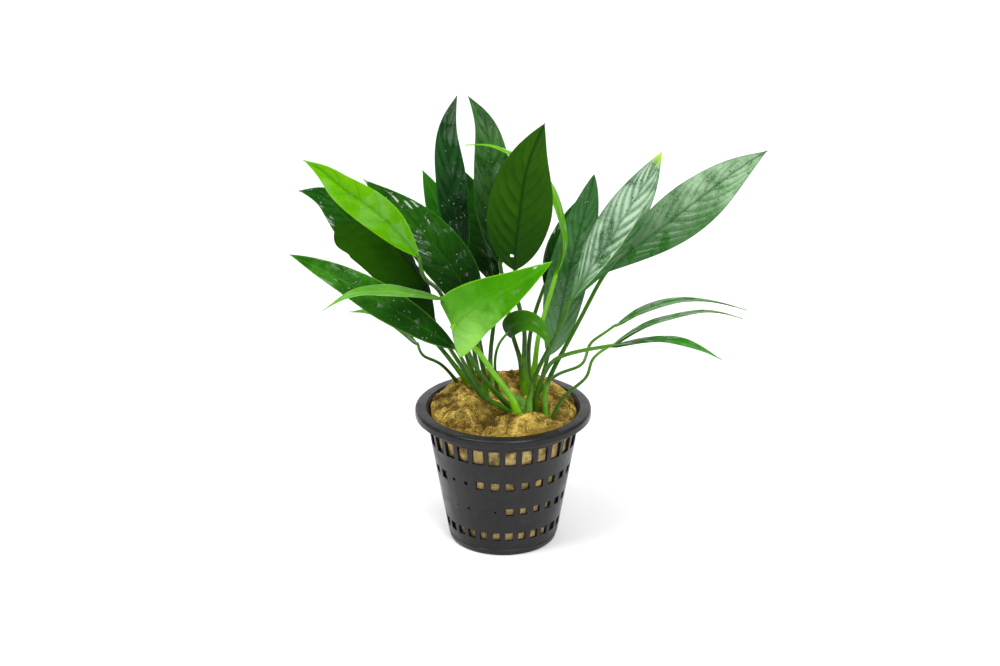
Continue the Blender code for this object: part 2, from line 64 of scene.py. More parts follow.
# Rows of windows from the floor up: sill height, window height, window width.
WINDOW_ROWS = np.array([(5.6, 3.0, 2.6), (15.1, 2.6, 2.4), (24.2, 2.9, 2.8), (33.3, 5.3, 3.7)]) * MM
WALL_TOP = POT_HEIGHT - LIP_HEIGHT
WALL_SLOPE = (RIM_RADIUS - RIM_WIDTH - WALL_FOOT_RADIUS) / WALL_TOP


def wall_radius(z):
    """Outer wall: a cone that widens evenly from the foot to the rim."""
    return WALL_FOOT_RADIUS + WALL_SLOPE * z


def mesh_piece(name, points, faces, materials, uv=None, face_material=None, sharp_angle=180):
    """Puts points and faces into a smooth mesh; uv holds one pair for each point."""
    mesh = bpy.data.meshes.new(name)
    mesh.vertices.add(len(points))
    mesh.vertices.foreach_set("co", np.ascontiguousarray(points, np.float32).ravel())
    sizes = np.array([len(face) for face in faces])
    corners = np.concatenate(faces)
    mesh.loops.add(len(corners))
    mesh.loops.foreach_set("vertex_index", corners.astype(np.int32))
    mesh.polygons.add(len(sizes))
    mesh.polygons.foreach_set("loop_start", np.concatenate([[0], np.cumsum(sizes)[:-1]]).astype(np.int32))
    if face_material is not None:
        mesh.polygons.foreach_set("material_index", face_material.astype(np.int32))
    if uv is not None:
        layer = mesh.uv_layers.new(name="UVMap")
        layer.data.foreach_set("uv", np.ascontiguousarray(uv[corners], np.float32).ravel())
    mesh.update(calc_edges=True)
    mesh.validate()
    mesh.shade_smooth()
    mesh.set_sharp_from_angle(angle=np.radians(sharp_angle))
    for material in materials:
        mesh.materials.append(material)
    piece = bpy.data.objects.new(name, mesh)
    bpy.context.scene.collection.objects.link(piece)
    return piece


def ring_quads(rings, around, start=0):
    """Quads between closed rings of points: each joins points j and j + 1 of ring k to those of ring k +
    1."""
    k = around * np.arange(rings - 1)[:, None]
    j = np.arange(around)[None, :]
    after = (j + 1) % around
    corners = np.broadcast_arrays(k + j, k + after, k + around + after, k + around + j)
    return np.stack(corners, axis=-1) + start


def new_material(name, roughness=0.5, **sockets):
    """A material and its Principled shader, with the even values set on the shader's own sockets."""
    material = bpy.data.materials.new(name)
    material.use_nodes = True
    shader = material.node_tree.nodes["Principled BSDF"]
    shader.inputs["Roughness"].default_value = roughness
    for socket, value in sockets.items():
        shader.inputs[socket.replace("_", " ")].default_value = value
    return material, material.node_tree, shader


def add_node(tree, kind, inputs=None, **settings):
    """One node; an input may be a number, a colour or another node's output."""
    node = tree.nodes.new("ShaderNode" + kind)
    for key, value in settings.items():
        setattr(node, key, value)
    for key, value in (inputs or {}).items():
        if isinstance(value, bpy.types.NodeSocket):
            tree.links.new(value, node.inputs[key])
        else:
            node.inputs[key].default_value = value
    return node


def remap(tree, value, low, high, to_low=0.0, to_high=1.0):
    """Straight-line map of a value from one range to another, held at the ends."""
    inputs = {"Value": value, "From Min": low, "From Max": high, "To Min": to_low, "To Max": to_high}
    return add_node(tree, "MapRange", inputs).outputs["Result"]


def mix_colours(tree, factor, first, second):
    """The first colour where the factor is 0, the second where it is 1."""
    mix = add_node(tree, "Mix", data_type="RGBA")
    for socket, value in ((mix.inputs[0], factor), (mix.inputs[6], first), (mix.inputs[7], second)):
        if isinstance(value, bpy.types.NodeSocket):
            tree.links.new(value, socket)
        else:
            socket.default_value = value if isinstance(value, float) else (*value, 1)
    return mix.outputs[2]


def calculate(tree, operation, first, second=0.0):
    return add_node(tree, "Math", {0: first, 1: second}, operation=operation).outputs[0]


def add(tree, first, second):
    return calculate(tree, "ADD", first, second)


def subtract(tree, first, second):
    return calculate(tree, "SUBTRACT", first, second)


def multiply(tree, first, second):
    return calculate(tree, "MULTIPLY", first, second)


def roughen(tree, shader, height, strength, distance):
    """Gives the shader a bumpy Normal from a height, by way of a Bump node."""
    bump = add_node(tree, "Bump", {"Height": height, "Strength": strength, "Distance": distance})
    tree.links.new(bump.outputs["Normal"], shader.inputs["Normal"])


def mottle_group():
    """Two scales of noise on Object coordinates, as a coarse patch mask and a fine grain mask."""
    group = bpy.data.node_groups.new("mottle", "ShaderNodeTree")
    for name, value in (("Patch Scale", 100.0), ("Grain Scale", 900.0)):
        socket = group.interface.new_socket(name, in_out="INPUT", socket_type="NodeSocketFloat")
        socket.default_value = value
    for name in ("Patches", "Grain"):
        group.interface.new_socket(name, in_out="OUTPUT", socket_type="NodeSocketFloat")
    given = group.nodes.new("NodeGroupInput")
    out = group.nodes.new("NodeGroupOutput")
    place = add_node(group, "TexCoord").outputs["Object"]
    for name, scale, detail in (("Patches", "Patch Scale", 3.0), ("Grain", "Grain Scale", 5.0)):
        inputs = {"Vector": place, "Scale": given.outputs[scale], "Detail": detail, "Roughness": 0.6}
        noise = add_node(group, "TexNoise", inputs)
        group.links.new(noise.outputs["Fac"], out.inputs[name])
    return group


MOTTLE = mottle_group()


def mottling(tree, patch_scale, grain_scale):
    node = add_node(tree, "Group", node_tree=MOTTLE)
    node.inputs["Patch Scale"].default_value = patch_scale
    node.inputs["Grain Scale"].default_value = grain_scale
    return node.outputs["Patches"], node.outputs["Grain"]


def moulded_plastic():
    """Charcoal plastic: satin, finely grained, paler and rougher where it is scuffed."""
    charcoal, scuffed = (0.006, 0.006, 0.007), (0.016, 0.016, 0.017)
    material, tree, shader = new_material("moulded_plastic", Specular_IOR_Level=0.28)
    patches, grain = mottling(tree, 140.0, 1500.0)
    colour = mix_colours(tree, remap(tree, patches, 0.50, 0.72), charcoal, scuffed)
    colour = mix_colours(tree, remap(tree, grain, 0.35, 0.7, 0.0, 0.35), colour, charcoal)
    tree.links.new(colour, shader.inputs["Base Color"])
    tree.links.new(remap(tree, patches, 0.35, 0.65, 0.24, 0.46), shader.inputs["Roughness"])
    roughen(tree, shader, grain, 0.25, 0.1 * MM)
    return material


# What opens above a ring of the profile, besides a window of row 0 to 3.
FLOOR_SLOT = 9
NOTHING = -1


def basket_profile():
    """(radius, height, half angle of an opening, what opens) of each ring, outside and inside, from the
    floor's middle out and up. A rounded corner is a quarter circle, drawn with 1 - sin a and 1 - cos a."""
    slot_half = np.radians(3.2)
    foot_half = WINDOW_ROWS[0, 2] / 2 / WALL_FOOT_RADIUS
    top_half = WINDOW_ROWS[-1, 2] / 2 / wall_radius(WALL_TOP)
    quarter = np.radians([0, 30, 60, 90])
    outside, inside = [], []
    for rings, z in ((outside, 0), (inside, FLOOR_THICKNESS)):
        rings.append((FLOOR_SLOT_START, z, slot_half, FLOOR_SLOT))
        rings.append((FLOOR_SLOT_END, z, slot_half, NOTHING))
    corner = 1.0 * MM
    for turn in quarter:
        r = WALL_FOOT_RADIUS - corner * (1 - np.sin(turn))
        outside.append((r, corner * (1 - np.cos(turn)), foot_half, NOTHING))
    groove = 0.14 * MM
    for z, inset in ((2.1 * MM, 0), (2.25 * MM, groove), (2.5 * MM, groove), (2.65 * MM, 0)):
        outside.append((wall_radius(z) - inset, z, foot_half, NOTHING))
    for lift, inset in ((0, 0.4 * MM), (0.4 * MM, 0), (1.0 * MM, 0), (2.0 * MM, 0)):
        z = FLOOR_THICKNESS + lift
        inside.append((wall_radius(z) - WALL_THICKNESS - inset, z, foot_half, NOTHING))
    for row, (sill, height, width) in enumerate(WINDOW_ROWS):
        for z, opening in ((sill, row), (sill + height, NOTHING)):
            r = wall_radius(z)
            outside.append((r, z, width / 2 / r, opening))
            inside.append((r - WALL_THICKNESS, z, width / 2 / r, opening))
    under = POT_HEIGHT - 1.1 * MM
    flange = RIM_RADIUS - RIM_WIDTH
    rim = [(wall_radius(WALL_TOP), WALL_TOP)]
    for turn in np.radians([20, 45, 70, 90]):
        rise = (under - WALL_TOP) * np.sin(turn)
        rim.append((flange + 0.15 * MM + 1.4 * MM * (1 - np.cos(turn)), WALL_TOP + rise))
    rim += [(RIM_RADIUS - 1.0 * MM, under), (RIM_RADIUS - 0.9 * MM, WALL_TOP)]
    rim += [(RIM_RADIUS - 0.25 * MM, WALL_TOP - 0.1 * MM), (RIM_RADIUS, WALL_TOP + 0.15 * MM)]
    edge = 0.8 * MM
    for turn in quarter:
        rim.append((RIM_RADIUS - edge * (1 - np.cos(turn)), POT_HEIGHT - edge * (1 - np.sin(turn))))
    outside += [(r, z, top_half, NOTHING) for r, z in rim]
    inside.append((wall_radius(WALL_TOP) - WALL_THICKNESS, WALL_TOP, top_half, NOTHING))
    for turn in quarter:
        back = 0.7 * MM * (1 - np.sin(turn))
        inside.append((flange - back, POT_HEIGHT - back - 0.1 * MM * np.cos(turn), top_half, NOTHING))
    return np.array(outside), np.array(inside)


def window_openness():
    """How far each window of each row is open, from 1 down to a pinhole where flash closed it."""
    rng = np.random.default_rng(4)
    openness = 1 - 0.10 * rng.random((len(WINDOW_ROWS), SECTORS))
    openness[1, [22, 23, 24, 25, 26, 27, 0]] = (0.10, 0.12, 0.10, 0.16, 0.30, 0.12, 0.24)
    openness[2, [25, 26]] = (0.34, 0.40)
    return openness


def basket_shell():
    """Two nested shells of revolution, radius and height along the profile and four columns for each
    sector, with the openings' cells left out and the shells joined round every opening and along the
    rim."""
    outside, inside = basket_profile()
    openness = window_openness()
    # A sector's columns: a window's two edges and its middle, then the middle of the pillar beside it.
    sector = np.repeat(np.arange(SECTORS), 4)
    share = np.tile([-1.0, 0.0, 1.0, 0.0], SECTORS)
    pillar = np.tile([False, False, False, True], SECTORS)
    columns = len(sector)
    j = np.arange(columns)
    points, quads, offset = [], [], 0
    for shell in (outside, inside):
        radius, height, half = shell.T[:3, :, None]
        opening = shell[:, 3].astype(int)
        across = np.where(pillar, SECTOR_ANGLE / 2, share * half)
        lift = np.zeros((len(shell), columns))
        for k in np.nonzero((opening >= 0) & (opening < FLOOR_SLOT))[0]:
            open_share = openness[opening[k]][sector]
            squeeze = np.where(pillar, 0, (1 - open_share) * (shell[k + 1, 1] - shell[k, 1]) / 2)
            lift[k] += squeeze
            lift[k + 1] -= squeeze
            for ring in (k, k + 1):
                across[ring] = np.where(pillar, SECTOR_ANGLE / 2, share * shell[ring, 2] * open_share)
        angle = FIRST_SECTOR + sector * SECTOR_ANGLE + across
        r = radius + WALL_SLOPE * lift
        rings = np.stack([r * np.sin(angle), -r * np.cos(angle), height + lift], axis=-1)
        points.append(rings.reshape(-1, 3))
        above = opening[:-1, None]
        wall_window = (above >= 0) & (above < FLOOR_SLOT)
        floor_slot = (above == FLOOR_SLOT) & (sector % 2 == 0)
        gone = (wall_window | floor_slot) & (j % 4 < 2)
        kept = ring_quads(len(shell), columns, offset)[~gone]
        quads.append(kept[:, ::-1] if shell is inside else kept)
        offset = len(outside) * columns
    # The walls of each opening, from one shell to the other all the way round it.
    border = [0, 1, 2, columns + 2, columns + 1, columns]
    for opening in (FLOOR_SLOT, 0, 1, 2, 3):
        left = 4 * np.arange(0, SECTORS, 2 if opening == FLOOR_SLOT else 1)
        outer = int(np.nonzero(outside[:, 3] == opening)[0][0]) * columns + left
        inner = int(np.nonzero(inside[:, 3] == opening)[0][0]) * columns + left + offset
        for p, q in zip(border, border[1:] + border[:1]):
            quads.append(np.stack([outer + p, inner + p, inner + q, outer + q], axis=1))
    after = (j + 1) % columns
    top_out, top_in = (len(outside) - 1) * columns, offset + (len(inside) - 1) * columns
    quads.append(np.stack([top_out + j, top_out + after, top_in + after, top_in + j], axis=1))
    return np.concatenate(points), [*np.concatenate(quads), j[::-1], offset + j]


PLASTIC = moulded_plastic()
basket = mesh_piece("basket_pot_shell", *basket_shell(), [PLASTIC], sharp_angle=35)
soft_edges = basket.modifiers.new("soft_edges", "BEVEL")
soft_edges.width = 0.12 * MM
soft_edges.segments = 2
soft_edges.limit_method = "ANGLE"
soft_edges.angle_limit = np.radians(40)
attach(basket, "root")
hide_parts("basket_pot")


# ---------------------------------------------------------------- rock wool
# The growing plug is spun mineral fibre, pressed into the basket as a wad. It bulges out of the top in soft
# lobes with creases between them, and loose fibres stand out of it.

WOOL_RADIUS = wall_radius(WALL_TOP) - WALL_THICKNESS - 0.3 * MM
WOOL_SIDE_ROWS = 60
WOOL_TOP_ROWS = 138
WOOL_SECTORS = 420
FIBRES = 5000
FIBRE_STEPS = 6
FIBRE_SIDES = 3
# A direction that stems and fibres seldom follow, for turning what lies across them.
REFERENCE = np.array([0.13, 0.95, 0.28])


def value_noise(x, y, seed):
    """Smooth random field: random values on a unit lattice, blended with the curve 3t^2 - 2t^3."""
    table = np.random.default_rng(seed).random((64, 64))
    i, j = np.floor(x).astype(int), np.floor(y).astype(int)
    u, v = x - i, y - j
    u, v = u * u * (3 - 2 * u), v * v * (3 - 2 * v)
    low = table[i % 64, j % 64] * (1 - u) + table[(i + 1) % 64, j % 64] * u
    high = table[i % 64, (j + 1) % 64] * (1 - u) + table[(i + 1) % 64, (j + 1) % 64] * u
    return low * (1 - v) + high * v


def fractal_noise(x, y, seed, octaves=4):
    """Sum of value noises, each at twice the pitch and half the height of the last, around zero."""
    layers = [value_noise(x * 2**k + 7.3 * k, y * 2**k + 3.1 * k, seed + k) * 0.5**k for k in range(octaves)]
    return sum(layers) - (1 - 0.5**octaves)


def wool_dome(x, y):
    """The plug's top without its lobes: a flat dome with a ridge behind and a hollow round the crown."""
    u, v = x / WOOL_RADIUS, y / WOOL_RADIUS
    rim = np.clip(u * u + v * v, 0, 1)
    dome = 3.8 * MM * (1 - rim**2)
    ridge = 2.6 * MM * np.exp(-((u + 0.1) / 0.7) ** 2 - ((v - 0.74) / 0.28) ** 2)
    hollow = 2.2 * MM * np.exp(-((u - 0.1) / 0.36) ** 2 - ((v + 0.1) / 0.26) ** 2)
    lumps = 0.35 * MM * np.sin(9 * u + 2) * np.sin(8 * v + 1) * (1 - rim)
    return POT_HEIGHT - 0.4 * MM + dome + ridge - hollow + lumps


# Larger swellings and creases of the wad: centre, reach across and away, and height.
WOOL_SWELLS = np.array([
    (8, -17, 8, 3.2, 1.6), (3, -12.5, 9, 1.5, -2.4), (-11, -2, 6, 7, 1.3), (-14, -12, 7, 4, 0.6),
    (-8, 3, 3, 5, -1.2), (14, -3, 4, 6, 0.8), (-4, -17, 3, 2, -1.4), (16, -12, 2.5, 2, -1.2),
    (-17, 4, 2.5, 4, -1.0), (-9, 15, 5, 3, 1.0),
]) * MM


def wool_relief(x, y):
    """Swells as Gaussian bumps, smaller lobes from billowed noise whose folded valleys make the creases,
    and over them strands of noise stretched along a wandering direction."""
    swell = sum(h * np.exp(-(((x - a) / rx) ** 2) - ((y - b) / ry) ** 2) for a, b, rx, ry, h in WOOL_SWELLS)
    bend_x = fractal_noise(x / (9 * MM) + 5, y / (9 * MM) + 9, 21, 2)
    bend_y = fractal_noise(x / (9 * MM) + 15, y / (9 * MM) + 2, 31, 2)
    a, b = x / (7 * MM) + 1.5 * bend_x, y / (5 * MM) + 1.5 * bend_y
    lobes = np.abs(fractal_noise(a + 3, b + 8, 41, 2)) ** 0.55
    turn = 2.6 * bend_x + 1.3 * np.sin(x / (7 * MM)) + 0.5
    along = x * np.cos(turn) + y * np.sin(turn)
    side = y * np.cos(turn) - x * np.sin(turn)
    strands = np.abs(fractal_noise(along / (4.5 * MM), side / (0.9 * MM), 51, 2)) ** 0.7
    tufts = fractal_noise(x / (1.3 * MM), y / (1.3 * MM), 61, 3)
    return 1.7 * swell + 3.2 * MM * (lobes - 0.4) + 1.3 * MM * (strands - 0.35) + 0.7 * MM * tufts


def wool_height(x, y):
    """The dome with its relief, which fades to two fifths towards the wall."""
    edge = 1 - np.clip((np.hypot(x, y) / WOOL_RADIUS - 0.72) / 0.28, 0, 1) ** 2
    return wool_dome(x, y) + wool_relief(x, y) * (0.4 + 0.6 * edge)


def crease_shade_depth(points):
    """How deep in a crease each point of the top lies, from 0 on a lobe to 1 at the bottom, for the painted
    shade in the creases; -1 down the side."""
    relief = wool_relief(points[:, 0], points[:, 1]) / MM
    return np.where(points[:, 2] > WALL_TOP, np.clip(0.30 - 0.42 * relief, 0, 1), -1)


def mark(piece, name, values):
    """Stores one value for each point of the mesh, for its material to read."""
    layer = piece.data.attributes.new(name, "FLOAT", "POINT")
    layer.data.foreach_set("value", np.ascontiguousarray(values, np.float32))


def wool_body():
    """A surface of two parameters, the angle round the plug and the way from the floor's middle out, up the
    side and in over the top, with the side following the wall and the top following wool_height."""
    angle = 2 * np.pi * np.arange(WOOL_SECTORS) / WOOL_SECTORS
    bottom = FLOOR_THICKNESS + 0.5 * MM
    middle = 0.004
    ragged = 0.035 * WOOL_RADIUS * fractal_noise(np.cos(angle) * 3.5 + 9, np.sin(angle) * 3.5 + 9, 71, 3)
    foot = wall_radius(bottom) - WALL_THICKNESS - 0.3 * MM
    rings = [(foot * middle, bottom), (foot * 0.6, bottom)]
    for z in np.linspace(bottom, WALL_TOP, WOOL_SIDE_ROWS):
        fuzz = 0.3 * MM * fractal_noise(angle * 9, angle * 0 + z / (1.1 * MM), 81, 3)
        near_top = np.clip((z / WALL_TOP - 0.93) / 0.07, 0, 1)
        r = wall_radius(z) - WALL_THICKNESS - 0.35 * MM + fuzz + (ragged - 0.25 * MM) * near_top
        rings.append((r, z))
    edge = rings[-1][0]
    for share in np.linspace(1, middle, WOOL_TOP_ROWS):
        r = edge * share
        rings.append((r, wool_height(r * np.cos(angle), r * np.sin(angle))))
    rows = [np.stack([r * np.cos(angle), r * np.sin(angle), z + 0 * angle], axis=1) for r, z in rings]
    quads = ring_quads(len(rings), WOOL_SECTORS).reshape(-1, 4)
    j = np.arange(WOOL_SECTORS)
    return np.concatenate(rows), [*quads, j[::-1], (len(rings) - 1) * WOOL_SECTORS + j]


def tubes(paths, radii, sides):
    """Many closed tubes at once: paths is tubes x steps x 3. Each ring is a regular polygon across its
    path, turned to one fixed direction that few paths follow."""
    count, steps = paths.shape[:2]
    tangent = np.gradient(paths, axis=1)
    tangent /= np.linalg.norm(tangent, axis=2, keepdims=True) + 1e-12
    side = np.cross(tangent, REFERENCE)
    side /= np.linalg.norm(side, axis=2, keepdims=True)
    up = np.cross(side, tangent)
    turn = 2 * np.pi * np.arange(sides) / sides
    ring = np.cos(turn)[:, None] * side[:, :, None] + np.sin(turn)[:, None] * up[:, :, None]
    points = paths[:, :, None] + radii[..., None, None] * ring
    start = np.arange(count)[:, None] * steps * sides
    quads = ring_quads(steps, sides, start[..., None, None]).reshape(-1, 4)
    first = start + np.arange(sides)[::-1]
    last = start + (steps - 1) * sides + np.arange(sides)
    return points.reshape(-1, 3), [*quads, *first, *last]


def wool_fibres(seed):
    """Loose fibres: short arcs that follow the top's height, with both ends lifting off it a little.
    Neighbours run much the same way and share a tone from brown to pale."""
    rng = np.random.default_rng(seed)
    steps = np.linspace(-0.5, 0.5, FIBRE_STEPS)
    furthest = 0.985 * WOOL_RADIUS
    r = furthest * np.sqrt(rng.random(FIBRES))
    place = 2 * np.pi * rng.random(FIBRES)
    x0, y0 = r * np.cos(place), r * np.sin(place)
    length = (1.2 + 4.5 * rng.random(FIBRES) ** 2) * MM
    flow = 9 * fractal_noise(x0 / (6 * MM) + 4, y0 / (6 * MM) + 4, 77, 2)
    heading = flow + rng.normal(0, 0.28, FIBRES)
    curl = rng.normal(0, 1.3, FIBRES)
    turn = heading[:, None] + curl[:, None] * steps
    x = x0[:, None] + length[:, None] * steps * np.cos(turn)
    y = y0[:, None] + length[:, None] * steps * np.sin(turn)
    shrink = np.minimum(1, furthest / np.hypot(x, y))
    x, y = x * shrink, y * shrink
    lift = (0.02 + 0.4 * rng.random(FIBRES) ** 5)[:, None] * (0.5 + 2.4 * steps**2) * MM
    paths = np.stack([x, y, wool_height(x, y) + lift], axis=-1)
    radii = np.repeat((0.045 + 0.075 * rng.random(FIBRES) ** 2)[:, None] * MM, FIBRE_STEPS, axis=1)
    radii[:, [0, -1]] *= 0.4
    points, faces = tubes(paths, radii, FIBRE_SIDES)
    clump = 0.5 + 0.9 * fractal_noise(x0 / (2.2 * MM) + 3, y0 / (2.2 * MM) + 6, 87, 3)
    tone = np.clip(clump + 0.35 * (rng.random(FIBRES) - 0.5), 0, 1)
    return points, faces, np.repeat(tone, FIBRE_STEPS * FIBRE_SIDES)


def spun_fibre(name, pale, tan, brown, strength, by_strand=False):
    """Ochre mineral fibre, wholly matt: straw and brown strands at two scales, painted shade darkening the
    creases, paler down the side, and with a tone of its own for each strand where by_strand is set."""
    material, tree, shader = new_material(name, 0.95, Specular_IOR_Level=0.15)
    patches, grain = mottling(tree, 230.0, 2400.0)
    place = add_node(tree, "TexCoord").outputs["Object"]
    stretched = {"Vector": place, "Scale": (1.0, 4.5, 3.0), "Rotation": (0.3, 0.2, 0.7)}
    stretch = add_node(tree, "Mapping", stretched).outputs[0]
    inputs = {"Vector": stretch, "Scale": 420.0, "Detail": 6.0, "Distortion": 2.5}
    strands = add_node(tree, "TexNoise", inputs).outputs["Fac"]
    colour = mix_colours(tree, remap(tree, strands, 0.38, 0.62), tan, pale)
    hollow = add_node(tree, "Attribute", attribute_name="hollow").outputs["Fac"]
    colour = mix_colours(tree, remap(tree, hollow, -1.0, -0.5, 0.55, 0.0), colour, (0.90, 0.68, 0.32))
    colour = mix_colours(tree, remap(tree, patches, 0.46, 0.66, 0.0, 0.75), colour, brown)
    colour = mix_colours(tree, remap(tree, grain, 0.55, 0.75, 0.0, 0.5), colour, brown)
    if by_strand:
        tone = add_node(tree, "Attribute", attribute_name="tone").outputs["Fac"]
        colour = mix_colours(tree, remap(tree, tone, 0.25, 0.6), brown, colour)
        colour = mix_colours(tree, remap(tree, tone, 0.6, 0.95), colour, pale)
    # Painted shade: brown laid into the creases, deepest at their bottoms.
    colour = mix_colours(tree, remap(tree, hollow, 0.15, 0.85, 0.0, 0.8), colour, brown)
    tree.links.new(colour, shader.inputs["Base Color"])
    roughen(tree, shader, add(tree, strands, multiply(tree, grain, 0.6)), strength, 0.6 * MM)
    return material


BODY_TONES = (0.64, 0.44, 0.080), (0.29, 0.175, 0.022), (0.050, 0.024, 0.003)
STRAND_TONES = (0.92, 0.70, 0.17), (0.50, 0.34, 0.050), (0.09, 0.045, 0.006)
WOOL = spun_fibre("rock_wool_body", *BODY_TONES, strength=1.0)
LOOSE_WOOL = spun_fibre("rock_wool_strands", *STRAND_TONES, strength=0.2, by_strand=True)
plug_points, plug_faces = wool_body()
wool = mesh_piece("rock_wool_plug", plug_points, plug_faces, [WOOL])
# The crease depth stored here drives the painted shade in the creases of the plug and its loose fibres.
mark(wool, "hollow", crease_shade_depth(plug_points))
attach(wool, "root")
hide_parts("rock_wool")
for layer, seed in ((1, 11), (2, 12)):
    points, faces, tone = wool_fibres(seed)
    fibres = mesh_piece(f"rock_wool_fibres_{layer}", points, faces, [LOOSE_WOOL])
    mark(fibres, "tone", tone)
    mark(fibres, "hollow", crease_shade_depth(points))
    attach(fibres, "root")


# ---------------------------------------------------------------- rhizome
# The creeping stem that all leaves grow from. It lies half sunk in the wool, green where light reaches it,
# ringed with old leaf scars.

RHIZOME_ROUTE = np.array([(-11, 9), (-6, 7), (-2, 2.5), (4, 2), (7, -3), (6.5, -9), (7, -14)]) * MM


def smooth_curve(points, count):
    """Equally spaced points on the natural cubic spline through the given points."""
    points = np.asarray(points, float)
    steps = np.sqrt(np.linalg.norm(np.diff(points, axis=0), axis=1))
    knots = np.concatenate([[0], np.cumsum(steps)])
    size = len(points)
    system = np.eye(size)
    right = np.zeros((size, 3))
    for i in range(1, size - 1):
        system[i, i - 1:i + 2] = steps[i - 1], 2 * (steps[i - 1] + steps[i]), steps[i]
        slope = np.diff(points[i - 1:i + 2], axis=0) / steps[i - 1:i + 1, None]
        right[i] = 6 * (slope[1] - slope[0])
    bends = np.linalg.solve(system, right)
    at = np.linspace(0, knots[-1], 800)
    k = np.clip(np.searchsorted(knots, at, side="right") - 1, 0, size - 2)
    step = steps[k][:, None]
    a = (knots[k + 1] - at)[:, None] / step
    b = 1 - a
    fine = a * points[k] + b * points[k + 1]
    fine += ((a**3 - a) * bends[k] + (b**3 - b) * bends[k + 1]) * step**2 / 6
    along = np.concatenate([[0], np.cumsum(np.linalg.norm(np.diff(fine, axis=0), axis=1))])
    wanted = np.linspace(0, along[-1], count)
    return np.stack([np.interp(wanted, along, fine[:, axis]) for axis in range(3)], axis=1)


def tube_piece(name, path, radii, sides, material):
    """One closed tube, with the way along it in its UV map."""
    points, faces = tubes(path[None], radii[None], sides)
    along = np.repeat(np.linspace(0, 1, len(path)), sides)
    around = np.tile(np.arange(sides) / sides, len(path))
    return mesh_piece(name, points, faces, [material], np.stack([along, around], axis=1))


def plant_stem(name, foot, middle, top, foot_reach, roughness):
    """Stem skin, coloured along its UV from the foot's tone up to the top's, with long fine streaks."""
    sockets = {"Specular_IOR_Level": 0.08, "Coat_Weight": 0.3, "Coat_Roughness": 0.10}
    material, tree, shader = new_material(name, roughness, **sockets)
    uv = add_node(tree, "UVMap", uv_map="UVMap").outputs[0]
    along = add_node(tree, "SeparateXYZ", {"Vector": uv}).outputs[0]
    patches, grain = mottling(tree, 260.0, 1800.0)
    uneven = add(tree, along, remap(tree, patches, 0.3, 0.7, -0.12, 0.12))
    colour = mix_colours(tree, remap(tree, uneven, 0.0, foot_reach), foot, middle)
    colour = mix_colours(tree, remap(tree, uneven, 0.35, 1.0), colour, top)
    colour = mix_colours(tree, remap(tree, grain, 0.5, 0.75, 0.0, 0.35), colour, foot)
    tree.links.new(colour, shader.inputs["Base Color"])
    stretch = add_node(tree, "Mapping", {"Vector": uv, "Scale": (6.0, 40.0, 1.0)}).outputs[0]
    streaks = add_node(tree, "TexNoise", {"Vector": stretch, "Scale": 1.0, "Detail": 4.0}).outputs["Fac"]
    roughen(tree, shader, streaks, 0.35, 0.3 * MM)
    return material


RHIZOME_TONES = (0.05, 0.12, 0.012), (0.10, 0.26, 0.02), (0.06, 0.15, 0.015)
RHIZOME_SKIN = plant_stem("rhizome_skin", *RHIZOME_TONES, foot_reach=0.4, roughness=0.6)
RHIZOME_STEPS = 120
RHIZOME_SCARS = 16
route_height = wool_dome(RHIZOME_ROUTE[:, 0], RHIZOME_ROUTE[:, 1]) - 1.1 * MM
rhizome_path = smooth_curve(np.column_stack([RHIZOME_ROUTE, route_height]), RHIZOME_STEPS)
t = np.linspace(0, 1, RHIZOME_STEPS)
scars = 1 + 0.10 * np.exp(-(((t * RHIZOME_SCARS) % 1 - 0.5) / 0.16) ** 2)
rounded_ends = np.sqrt(np.clip(np.minimum(t, 1 - t) / 0.07, 0.02, 1))
rhizome = tube_piece("rhizome_stem", rhizome_path, 1.65 * MM * scars * rounded_ends, 24, RHIZOME_SKIN)
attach(rhizome, "root")
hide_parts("rhizome")


# ---------------------------------------------------------------- leaves
# Each leaf is a wiry stalk, sheathed at its foot, and a lance-shaped blade with a sunken midrib and side
# veins that puff the blade up between them. Old blades are dark and glossy, young ones thin and lime green.

Leaf = namedtuple("Leaf", "radius foot stalk midrib width face_base face_tip fold bluntness kind look")
